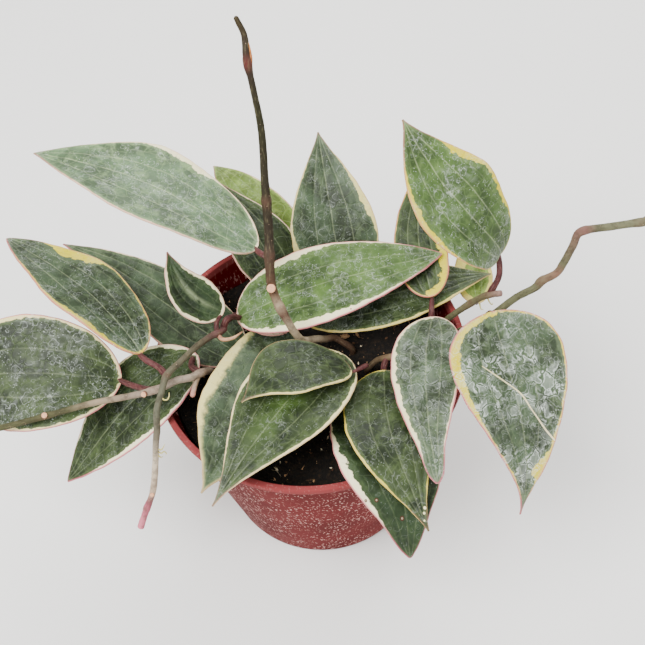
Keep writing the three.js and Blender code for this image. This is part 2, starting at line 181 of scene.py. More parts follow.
def addPiece(name, points, faces, material, attributes=None, smooth=True):
    mesh = bpy.data.meshes.new(name)
    mesh.from_pydata((np.asarray(points) * mm).tolist(), [], faces)
    mesh.validate()
    mesh.polygons.foreach_set("use_smooth", [smooth] * len(mesh.polygons))
    for key, values in (attributes or {}).items():
        values = np.asarray(values, dtype=np.float32)
        kind, field = ("FLOAT", "value") if values.ndim == 1 else ("FLOAT_VECTOR", "vector")
        mesh.attributes.new(key, kind, "POINT").data.foreach_set(field, values.ravel())
    mesh.materials.append(material)
    piece = bpy.data.objects.new(name, mesh)
    bpy.context.scene.collection.objects.link(piece)
    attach(piece, "root")
    return piece


class Lot:  # several small shapes that become one piece
    def __init__(self):
        self.points, self.faces, self.attributes = [], [], {}
        self.count = 0

    def add(self, points, faces, attributes):
        self.points.append(np.asarray(points))
        self.faces += [tuple(i + self.count for i in face) for face in faces]
        for key, values in attributes.items():
            self.attributes.setdefault(key, []).append(np.asarray(values, dtype=np.float32))
        self.count += len(points)

    def piece(self, name, material, slot, smooth=True):
        attributes = {key: np.concatenate(values) for key, values in self.attributes.items()}
        return addPiece(name, np.concatenate(self.points), self.faces, material, attributes, smooth)


# a curve through points, as the solids' own stems and petioles follow
def curveThrough(route, spacing):
    route = np.array(route, dtype=float)
    padded = np.vstack([2 * route[0] - route[1], route, 2 * route[-1] - route[-2]])
    t = np.linspace(0, 1, 40)[:-1, None]
    parts = []
    for p0, p1, p2, p3 in zip(padded, padded[1:], padded[2:], padded[3:]):
        d0, d1, d2 = (np.sqrt(np.linalg.norm(b - a)) for a, b in ((p0, p1), (p1, p2), (p2, p3)))
        start = ((p1 - p0) / d0 - (p2 - p0) / (d0 + d1) + (p2 - p1) / d1) * d1
        end = ((p2 - p1) / d1 - (p3 - p1) / (d1 + d2) + (p3 - p2) / d2) * d1
        squared = 3 * (p2 - p1) - 2 * start - end
        cubed = 2 * (p1 - p2) + start + end
        parts.append(p1 + start * t + squared * t**2 + cubed * t**3)
    dense = np.vstack([*parts, route[-1:]])
    reach = np.concatenate([[0], np.cumsum(np.linalg.norm(np.diff(dense, axis=0), axis=1))])
    steps = max(3, round(reach[-1] / spacing))
    wanted = np.linspace(0, reach[-1], steps + 1)
    return np.stack([np.interp(wanted, reach, dense[:, i]) for i in range(3)], axis=1), reach[-1]


def tube(points, radii, sides, flatEnd=False):  # a closed round rod with rounded ends
    points, radii = np.asarray(points), np.asarray(radii)
    tangents = unit(np.gradient(points, axis=0))
    across = np.cross(tangents[0], up if abs(tangents[0][2]) < 0.9 else [1.0, 0, 0])
    rings, lengths, angles = [], [], []
    turn = np.linspace(0, 2 * math.pi, sides, endpoint=False)
    reach = np.concatenate([[0], np.cumsum(np.linalg.norm(np.diff(points, axis=0), axis=1))])
    dome = ((0.1, 0.45), (0.45, 0.83), (0.8, 0.98))  # how far in from the end, and how wide there
    stations = [(0, -(1 - inset) * radii[0], shrink) for inset, shrink in dome]
    stations += [(k, 0.0, 1.0) for k in range(len(points))]
    last = len(points) - 1
    if flatEnd:
        stations += [(last, 0.12, 0.94), (last, 0.16, 0.7)]
    else:
        stations += [(last, (1 - inset) * radii[-1], shrink) for inset, shrink in reversed(dome)]
    for k, shift, shrink in stations:
        across = unit(across - tangents[k] * (across @ tangents[k]))
        other = np.cross(tangents[k], across)
        wheel = np.cos(turn)[:, None] * across + np.sin(turn)[:, None] * other
        rings.append(points[k] + tangents[k] * shift + wheel * radii[k] * shrink)
        lengths.append(np.full(sides, reach[k] + shift))
        angles.append(np.stack([np.cos(turn) * radii[k], np.sin(turn) * radii[k]], axis=1))
    count = len(rings)
    faces = []
    for k in range(count - 1):
        for i in range(sides):
            j = (i + 1) % sides
            faces.append((k * sides + i, k * sides + j, (k + 1) * sides + j, (k + 1) * sides + i))
    faces.append(tuple(reversed(range(sides))))
    faces.append(tuple(range((count - 1) * sides, count * sides)))
    lengths = np.concatenate(lengths)
    skin = np.column_stack([np.concatenate(angles), lengths])
    attributes = {"along": np.clip(lengths / reach[-1], 0, 1), "bark": skin}
    return np.vstack(rings), faces, attributes


print("frame loaded, helpers ready")

# the camera at the photograph's angle, a pale floor and soft light
studio = {
    "cameraPlace": (0.006555, -0.2413, 0.447355),
    "elevation": 53.728, "roll": -5.765,
    "lens": 56.6, "sensor": 36.0,
    "floorSize": 6.0, "floorLevel": -0.0004, "floorColour": "f1f0ed",
    "world": 0.95,
    "lights": {  # place, size and power
        "keySoftbox": ((-0.55, -0.35, 1.15), 0.9, 28.0),
        "backSoftbox": ((0.35, 0.8, 0.95), 0.8, 12.0),
        "fillSoftbox": ((0.75, -0.6, 0.6), 0.7, 4.0),
    },
}


def buildStudio(look):
    elevation, roll = math.radians(look["elevation"]), math.radians(look["roll"])
    back = Vector((0, -math.cos(elevation), math.sin(elevation)))
    level, rise = Vector((1, 0, 0)), back.cross(Vector((1, 0, 0)))
    right = level * math.cos(roll) + rise * math.sin(roll)
    top = rise * math.cos(roll) - level * math.sin(roll)
    lens = bpy.data.cameras.new("camera")
    lens.lens, lens.sensor_width = look["lens"], look["sensor"]
    lens.clip_start, lens.clip_end = 0.01, 50
    camera = bpy.data.objects.new("camera", lens)
    turned = Matrix((right, top, back)).transposed().to_4x4()
    camera.matrix_world = Matrix.Translation(look["cameraPlace"]) @ turned
    bpy.context.scene.collection.objects.link(camera)
    bpy.context.scene.camera = camera

    half, low = look["floorSize"] / 2, look["floorLevel"]
    mesh = bpy.data.meshes.new("floor")
    corners = [(-half, -half, low), (half, -half, low), (half, half, low), (-half, half, low)]
    mesh.from_pydata(corners, [], [(0, 1, 2, 3)])
    paper = Finish("paleFloor", Roughness=0.8)
    fleck = paper.grain(paper.place(), 90.0)
    pale = tint(look["floorColour"])
    paper.wear(colour=paper.blend(fleck, pale, tuple(0.97 * c for c in pale[:3]) + (1.0,)))
    mesh.materials.append(paper.material)
    floor = bpy.data.objects.new("floor", mesh)
    bpy.context.scene.collection.objects.link(floor)

    for name, (place, size, power) in look["lights"].items():
        lamp = bpy.data.lights.new(name, "AREA")
        lamp.shape, lamp.size, lamp.energy = "DISK", size, power
        light = bpy.data.objects.new(name, lamp)
        light.location = place
        light.rotation_euler = (Vector((0, 0, 0.1)) - Vector(place)).to_track_quat("-Z", "Y").to_euler()
        bpy.context.scene.collection.objects.link(light)
    world = bpy.data.worlds.new("softSky")
    world.use_nodes = True
    sky = world.node_tree.nodes["Background"]
    sky.inputs[0].default_value = (1.0, 1.0, 1.0, 1.0)
    sky.inputs[1].default_value = look["world"]
    bpy.context.scene.world = world


buildStudio(studio)
print("camera, floor and lights in place")

# pot: thin tapered plastic wall with a small lip and a ring of drain holes
pot = {
    "height": 100.0, "rimRadius": 65.0, "rimHeight": 3.0, "lipWidth": 1.6, "lipRound": 0.6,
    "baseRadius": 45.5, "baseRound": 1.0, "wall": 1.4, "base": 1.6,
    "holes": 6, "holeRadius": 3.5, "holeCircle": 32.0, "holeSides": 40, "sides": 144,
    "baseRings": (12.0, 24.0, 36.0, 43.0), "insideRings": (36.0, 24.0, 12.0, 0.0), "sharpAngle": 50.0,
    # the rim colour is a painted highlight: the lip drawn lighter as if lit from above
    "wallColour": "600808", "deepColour": "500808", "litRimColour": "803838", "glintColour": "d8a8a0",
}


def wallRadius(z):
    run = pot["height"] - pot["rimHeight"]
    return pot["baseRadius"] + (pot["rimRadius"] - pot["lipWidth"] - pot["baseRadius"]) * z / run


def innerRadius(z):
    return wallRadius(z) - pot["wall"]


def potFinish(look):
    red = Finish("brickRedPlastic", **{"Specular IOR Level": 0.03, "Coat Roughness": 0.4})
    place = red.place()
    height = red.node("ShaderNodeSeparateXYZ", {}, {0: place}, 2)
    cloud = red.grain(place, 26.0, 3.0)
    colour = red.blend(cloud.rise(0.35, 0.7), tint(look["wallColour"]), tint(look["deepColour"]))
    # painted highlight: the top band of the lip is painted a lighter red where light from above falls on it
    lip = height.rise(look["height"] - look["rimHeight"] - 0.7, look["height"] - look["rimHeight"] + 0.4)
    colour = red.blend(lip, colour, tint(look["litRimColour"]))
    slant = {0: place, "Rotation": (0.25, 0.2, 0.0)}
    slanted = red.node("ShaderNodeVectorRotate", {"rotation_type": "EULER_XYZ"}, slant)
    streak = red.grain(red.stretched(slanted, (1.0, 1.0, 0.35)), 0.9, 1.0, 0.5)
    band = red.grain(place, 14.0).rise(0.3, 0.55) * height.rise(96.0, 86.0)
    glint = streak.rise(0.6, 0.66) * (0.15 + 0.85 * band)
    colour = red.blend(glint * 0.65, colour, tint(look["glintColour"]))
    pebble = red.grain(place, 0.9, 3.0)
    surface = red.bump(pebble * 0.5 + streak * 0.8, 0.12, 0.55)
    return red.wear(colour=colour, roughness=0.42 + 0.2 * cloud + 0.1 * glint, normal=surface)


def buildPot(look):
    under = look["height"] - look["rimHeight"]
    mouth = look["height"] - look["lipRound"]
    rim, lip, baseTop, corner = look["rimRadius"], look["lipRound"], look["base"], look["baseRound"]

    def rounded(cx, cz, radius, start, end, count=5):
        turn = np.radians(np.linspace(start, end, count))
        return [(cx + radius * math.cos(a), cz + radius * math.sin(a)) for a in turn]

    profile = [(0.0, 0.0)] + [(r, 0.0) for r in look["baseRings"]]
    profile += rounded(look["baseRadius"] - corner, corner, corner, -90, 0)
    profile += [(wallRadius(z), z) for z in np.linspace(2.0, under - 0.6, 44)]
    profile += [(wallRadius(under) + 0.15, under - 0.2), (wallRadius(under) + 0.6, under)]
    profile += rounded(rim - lip, under + lip, lip, -80, 0, 4)
    profile += rounded(rim - lip, mouth, lip, 5, 90, 5)
    profile += rounded(innerRadius(mouth) + lip, mouth, lip, 90, 180, 5)
    profile += [(innerRadius(z), z) for z in np.linspace(mouth - 0.8, baseTop + 1.5, 36)]
    profile += [(innerRadius(baseTop) - 0.5, baseTop + 0.3), (innerRadius(baseTop) - 1.5, baseTop)]
    profile += [(r, baseTop) for r in look["insideRings"]]
    sides = look["sides"]
    turn = np.linspace(0, 2 * math.pi, sides, endpoint=False)
    points, faces = [(0.0, 0.0, 0.0)], []
    for radius, z in profile[1:-1]:
        points += [(radius * math.cos(a), radius * math.sin(a), z) for a in turn]
    points.append((0.0, 0.0, baseTop))
    rings = len(profile) - 2
    for i in range(sides):
        j = (i + 1) % sides
        faces.append((0, 1 + j, 1 + i))
        for k in range(rings - 1):
            a, b = 1 + k * sides, 1 + (k + 1) * sides
            faces.append((a + i, a + j, b + j, b + i))
        faces.append((len(points) - 1, 1 + (rings - 1) * sides + i, 1 + (rings - 1) * sides + j))
    shell = addPiece("potShell", points, faces, potFinish(look))
    cutter = bmesh.new()
    for i in range(look["holes"]):
        a = 2 * math.pi * i / look["holes"]
        move = Matrix.Translation(Vector((math.cos(a), math.sin(a), 0)) * look["holeCircle"] * mm)
        radius = look["holeRadius"] * mm
        bmesh.ops.create_cone(cutter, cap_ends=True, segments=look["holeSides"], radius1=radius,
                              radius2=radius, depth=8 * mm, matrix=move)
    holeMesh = bpy.data.meshes.new("drainHoles")
    cutter.to_mesh(holeMesh)
    cutter.free()
    holes = bpy.data.objects.new("drainHoles", holeMesh)
    bpy.context.scene.collection.objects.link(holes)
    cut = shell.modifiers.new("drain", "BOOLEAN")
    cut.object, cut.operation, cut.solver = holes, "DIFFERENCE", "EXACT"
    bpy.context.view_layer.update()
    evaluated = shell.evaluated_get(bpy.context.evaluated_depsgraph_get())
    drilled = bpy.data.meshes.new_from_object(evaluated)
    shell.modifiers.remove(cut)
    shell.data = drilled
    drilled.materials.clear()
    drilled.materials.append(bpy.data.materials["brickRedPlastic"])
    bpy.data.objects.remove(holes)
    sharp = bmesh.new()
    sharp.from_mesh(drilled)
    for edge in sharp.edges:
        if len(edge.link_faces) == 2 and edge.calc_face_angle() > math.radians(look["sharpAngle"]):
            edge.smooth = False
    sharp.to_mesh(drilled)
    sharp.free()
    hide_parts("pot")


buildPot(pot)
print("pot built")

# soil: almost black peat with bark chips and pale bits
soil = {
    "level": 85.0, "edge": 82.0, "broad": (1.1, 0.11, 0.13), "fine": (0.55, 0.37, 0.29),
    "rings": 74, "sides": 200, "crumb": 0.75, "wallGap": 0.6, "surfaceGap": 0.9, "floorGap": 0.3,
    "chipPoints": 10800, "chipCorners": 14, "chipInset": 2.5, "chipSize": (1.3, 5.5), "chipBevel": 0.06,
    "chipLift": 0.25, "paleShare": 0.25,
    "peat": "100c08", "peatLight": "302418", "chipDark": "583c28", "chipLight": "e0b080", "paleBit": "e8d8b8",
}


def soilSurface(x, y):
    height, fx, fy = soil["broad"]
    small, gx, gy = soil["fine"]
    return soil["level"] + height * math.sin(x * fx) * math.cos(y * fy) + small * math.sin(x * gx - y * gy)


def crumbled(x, y):
    lumps = noise.noise((x / 5, y / 5, 3.1)) + 0.6 * noise.noise((x / 2.1, y / 2.1, 8.4))
    return soilSurface(x, y) + soil["crumb"] * (lumps + 0.35 * noise.noise((x / 0.9, y / 0.9, 1.7)))


def soilFinish(look):
    peat = Finish("darkPeat", **{"Specular IOR Level": 0.3})
    place = peat.place()
    crumbs = peat.grain(place, 1.6, 4.0, 0.65)
    colour = peat.blend(crumbs.rise(0.45, 0.75), tint(look["peat"]), tint(look["peatLight"]))
    fibre = peat.cells(peat.warped(place, 4.0, 3.0), 2.4).rise(0.12, 0.03)
    colour = peat.blend(fibre * 0.5, colour, tint(look["chipLight"]))
    return peat.wear(colour=colour, roughness=0.8 + 0.15 * crumbs, normal=peat.bump(crumbs, 0.9, 0.8))


def chipFinish(look):
    bark = Finish("barkChips", **{"Specular IOR Level": 0.3})
    place = bark.place()
    shade = bark.attribute("shade")
    grain = bark.grain(bark.stretched(place, (1.0, 1.0, 3.0)), 0.8, 3.0, 0.6)
    colour = bark.blend(shade.rise(0.0, 0.85), tint(look["chipDark"]), tint(look["chipLight"]))
    colour = bark.blend(grain.rise(0.4, 0.7) * 0.5, colour, tint(look["peat"]))
    colour = bark.blend(shade.rise(0.9, 0.96), colour, tint(look["paleBit"]))
    return bark.wear(colour=colour, roughness=0.75 + 0.2 * grain, normal=bark.bump(grain, 0.25, 0.7))


def buildSoil(look):
    floor = pot["base"] + look["floorGap"]
    outer = innerRadius(look["level"]) - look["surfaceGap"]
    sides = look["sides"]
    turn = np.linspace(0, 2 * math.pi, sides, endpoint=False)
    points = [(0.0, 0.0, crumbled(0, 0))]
    for k in range(1, look["rings"] + 1):
        radius = outer * k / look["rings"]
        for a in turn:
            x, y = radius * math.cos(a), radius * math.sin(a)
            points.append((x, y, crumbled(x, y)))
    for z in (look["edge"], 60.0, 30.0, floor):
        radius = innerRadius(z) - look["wallGap"]
        points += [(radius * math.cos(a), radius * math.sin(a), z) for a in turn]
    points.append((0.0, 0.0, floor))
    rings = look["rings"] + 4
    faces = []
    for i in range(sides):
        j = (i + 1) % sides
        faces.append((0, 1 + i, 1 + j))
        for k in range(rings - 1):
            a, b = 1 + k * sides, 1 + (k + 1) * sides
            faces.append((a + i, b + i, b + j, a + j))
        faces.append((len(points) - 1, 1 + (rings - 1) * sides + j, 1 + (rings - 1) * sides + i))
    fill = addPiece("pottingSoil", points, faces, soilFinish(look))
    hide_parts("soil")


def buildChips(look):
    outer = innerRadius(look["level"]) - look["surfaceGap"] - look["chipInset"]
    chips = Lot()
    while chips.count < look["chipPoints"]:
        radius, angle = outer * math.sqrt(random.random()), random.uniform(0, 2 * math.pi)
        x, y = radius * math.cos(angle), radius * math.sin(angle)
        low, high = look["chipSize"]
        pale = random.random() < look["paleShare"]
        size = low + (high - low) * random.random() ** 2.5 * (0.5 if pale else 1.0)
        shape = (size, size * random.uniform(0.35, 0.8), size * random.uniform(0.2, 0.4))
        lump = bmesh.new()
        for _ in range(look["chipCorners"]):
            corner = unit(np.array([random.gauss(0, 1) for _ in range(3)])) * 0.5
            lump.verts.new(corner * shape)
        bmesh.ops.convex_hull(lump, input=lump.verts)
        loose = [vert for vert in lump.verts if not vert.link_faces]
        bmesh.ops.delete(lump, geom=loose, context="VERTS")
        bmesh.ops.bevel(lump, geom=lump.edges[:], offset=look["chipBevel"] * size, segments=1, affect="EDGES")
        spin = Matrix.Rotation(random.uniform(0, 6.3), 3, "Z")
        tilt = spin @ Matrix.Rotation(random.uniform(-0.5, 0.5), 3, "X")
        spot = Vector((x, y, crumbled(x, y) + look["chipLift"] * shape[2]))
        corners = [tuple(tilt @ vert.co + spot) for vert in lump.verts]
        lump.verts.index_update()
        outline = [[vert.index for vert in face.verts] for face in lump.faces]
        lump.free()
        shade = random.uniform(0.93, 1.0) if pale else random.uniform(0.0, 0.85) ** 1.6
        chips.add(corners, outline, {"shade": [shade] * len(corners)})
    chips.piece("barkChips", chipFinish(look), "soil", smooth=False)


buildSoil(soil)
buildChips(soil)
print("soil and bark chips built")

# stems: the same routes as the solids, with swollen nodes and bark
stemShape = {
    "spacing": 0.7, "sides": 22, "stationStep": 5.5,
    "swelling": 0.2, "swellingReach": 2.6, "wobble": 0.05, "bluntFrom": 0.75,
    "groove": 0.07, "grooveAway": 2.6, "grooveReach": 0.35, "lumps": 0.05, "lumpSize": 1.8,
    "mottle": "282018", "streak": "807858", "nodeTint": "805848", "dot": "a89078",
}

stems = {
    "stem_tall_shoot": {
        "radius": 1.35,
        "girth": [(0.0, 1.05), (0.3, 1.15), (0.4, 1.4), (0.52, 1.4), (0.66, 1.2), (0.8, 0.95), (0.88, 0.9),
                  (0.9, 1.05), (0.95, 0.95), (1.0, 0.7)],
        "route": [
            (18, 7, 76), (18, 7, 82), (18, 7, 88), (14, 9, 91), (11, 10, 93), (7, 7, 97), (4, 4, 102),
            (-2, -1, 109), (-4, -3, 115), (-6, -2, 120), (-10, 5, 126), (-12, 10, 131), (-12, 15, 138),
            (-11, 24, 147), (-10, 35, 167), (-9, 43, 185), (-10, 48, 200), (-11, 52, 211), (-11, 58, 217),
            (-13, 60, 223),
        ],
        "nodes": [(-9, 3, 125), (-10.5, 32, 161), (-11, 51, 209)],
        "bark": [(0.0, "302018"), (0.13, "604838"), (0.2, "a09078"), (0.32, "908068"), (0.345, "483028"),
                 (0.37, "908068"), (0.4, "584030"), (0.5, "302820"), (0.8, "282818"), (0.89, "302820"),
                 (0.91, "502020"), (0.93, "302820"), (1.0, "383020")],
    },
    "stem_hanging": {
        "radius": 1.3,
        "girth": [(0.0, 1.0), (0.6, 1.0), (0.92, 1.0), (1.0, 1.1)],
        "route": [
            (-22, 28, 76), (-22, 28, 82), (-22, 28, 88), (-24, 26, 94), (-26, 24, 98), (-31, 21, 101),
            (-35, 15, 104), (-35, 9, 108), (-40, 4, 111), (-46, -4, 115), (-51, -11, 117), (-56, -18, 119),
            (-58, -27, 120), (-60, -33, 118), (-61, -38, 112), (-63, -40, 104), (-65, -41, 94),
            (-70, -45, 74), (-74, -48, 66), (-78, -52, 58),
        ],
        "nodes": [(-74, -48, 66)],
        "bark": [(0.0, "403020"), (0.2, "583838"), (0.3, "604040"), (0.36, "585040"), (0.6, "585848"),
                 (0.66, "686050"), (0.76, "c8b8a0"), (0.88, "b8a088"), (0.9, "906860"),
                 (0.92, "a85868"), (1.0, "d07888")],
    },
    "stem_left_runner": {
        "radius": 1.5,
        "girth": [(0.0, 1.0), (0.4, 1.0), (0.5, 0.85), (0.9, 0.78), (1.0, 0.4)],
        "route": [
            (-25, 0, 76), (-25, 0, 82), (-26, 0, 87), (-30, -1, 90), (-35, -2, 93), (-38, -4, 96),
            (-40, -6, 99), (-41.5, -8, 104), (-44.5, -12, 109), (-48, -15, 111), (-53, -17, 113),
            (-58, -20, 114), (-65, -22, 114), (-76, -22, 112), (-86, -23, 112), (-104, -26, 111),
            (-123, -29, 110), (-137, -30, 109), (-148, -28, 107),
        ],
        "nodes": [(-104, -26, 111), (-137, -30, 109)],
        "bark": [(0.0, "403020"), (0.25, "807060"), (0.36, "a09080"), (0.5, "807060"), (0.58, "908068"),
                 (0.66, "484830"), (1.0, "404028")],
    },
    "stem_right_short": {
        "radius": 1.5,
        "girth": [(0.0, 0.95), (1.0, 0.85)],
        "route": [
            (53, 12, 76), (53, 12, 82), (53, 12, 87), (55, 9, 93), (56, 7, 98), (59, 5, 106), (68, 7, 112),
            (74, 5, 119), (79, 3, 122),
        ],
        "nodes": [],
        "bark": [(0.0, "302818"), (0.5, "484830"), (0.9, "605840"), (1.0, "907068")],
    },
    "stem_right_runner": {
        "radius": 1.5,
        "girth": [(0.0, 1.0), (0.7, 1.05), (1.0, 1.0)],
        "route": [
            (52, 2, 76), (52, 2, 82), (52, 2, 88), (56, -1, 97), (60, -4, 107), (63, -6, 112),
            (73, -3, 114), (86, 4, 117), (94, 6, 120), (96, 7, 122), (102, 8, 125), (105, 10, 129),
            (109, 14, 135), (111, 16, 139), (124, 16, 141), (136, 15, 143), (147, 14.5, 144.5),
            (156, 14, 147),
        ],
        "nodes": [(95, 6, 121), (111, 16, 139), (136, 15, 143)],
        "bark": [(0.0, "382818"), (0.3, "505038"), (0.5, "585840"), (0.57, "785848"), (0.6, "585840"),
                 (0.71, "705048"), (0.74, "606048"), (1.0, "686850")],
    },
}

# short stems low in the plant, all of one form
stub = {
    "form": {"radius": 1.35, "girth": [(0.0, 1.0), (1.0, 0.95)], "nodes": []},
    "bark": [(0.0, "402818"), (1.0, "604838")],
    "routes": {
        "stem_back_stub": [(-2, 38, 76), (-2, 38, 84), (-4, 38, 94)],
        "stem_back_right_stub": [(11, 43, 76), (11, 43, 84), (10, 43, 92)],
        "stem_middle_stub": [(-5, 28, 76), (-5, 28, 84), (-5, 27, 95)],
        "stem_front_left_stub": [(18, -7, 76), (18, -7, 86), (17, -10, 93), (17, -10, 100)],
        "stem_front_right_stub": [
            (23, -3, 76), (23, -3, 82), (24, -4, 88), (28, -3, 92), (32, -5, 96), (37, -6, 99),
        ],
    },
    "frontRightBark": [(0.0, "302010"), (0.5, "504030"), (0.85, "685840"), (1.0, "987060")],
}
for name, route in stub["routes"].items():
    stems[name] = {**stub["form"], "bark": stub["bark"], "route": route}
stems["stem_front_right_stub"]["bark"] = stub["frontRightBark"]

# leaves: each blade's form, as in the solids, then its colours; left and right are seen
# from base to tip, margins and bulges are in mm, a bulge is side, place, spread and width,
# a spot is place, distance aside, radius, inner and outer colour
greens = {  # dark, middle and pale tone of a blade
    "frosted": ("283020", "405038", "607050"), "dark": ("182010", "303c20", "506038"),
    "bright": ("304020", "486030", "688048"), "deep": ("182010", "283820", "405030"),
    "silver": ("405038", "587050", "88a070"), "lime": ("506028", "688038", "98b058"),
}

bladeDefaults = {
    "roll": 0, "twist": 0, "arch": 0, "skew": 1, "cup": 0.12, "sway": 0, "wave": 0, "widest": 0.38,
    "taper": 1.3, "petiole": 1.25, "green": "dark", "yellow": 0.35, "pink": 0.5, "soft": 0.2,
    "left": 0.8, "right": 0.8, "bulges": (), "splash": 0.0, "residue": 0.35, "crackle": 0.0, "veins": 0.5,
    "spots": (), "band": 0.0, "blunt": 0.0, "anchor": 0.12,
}

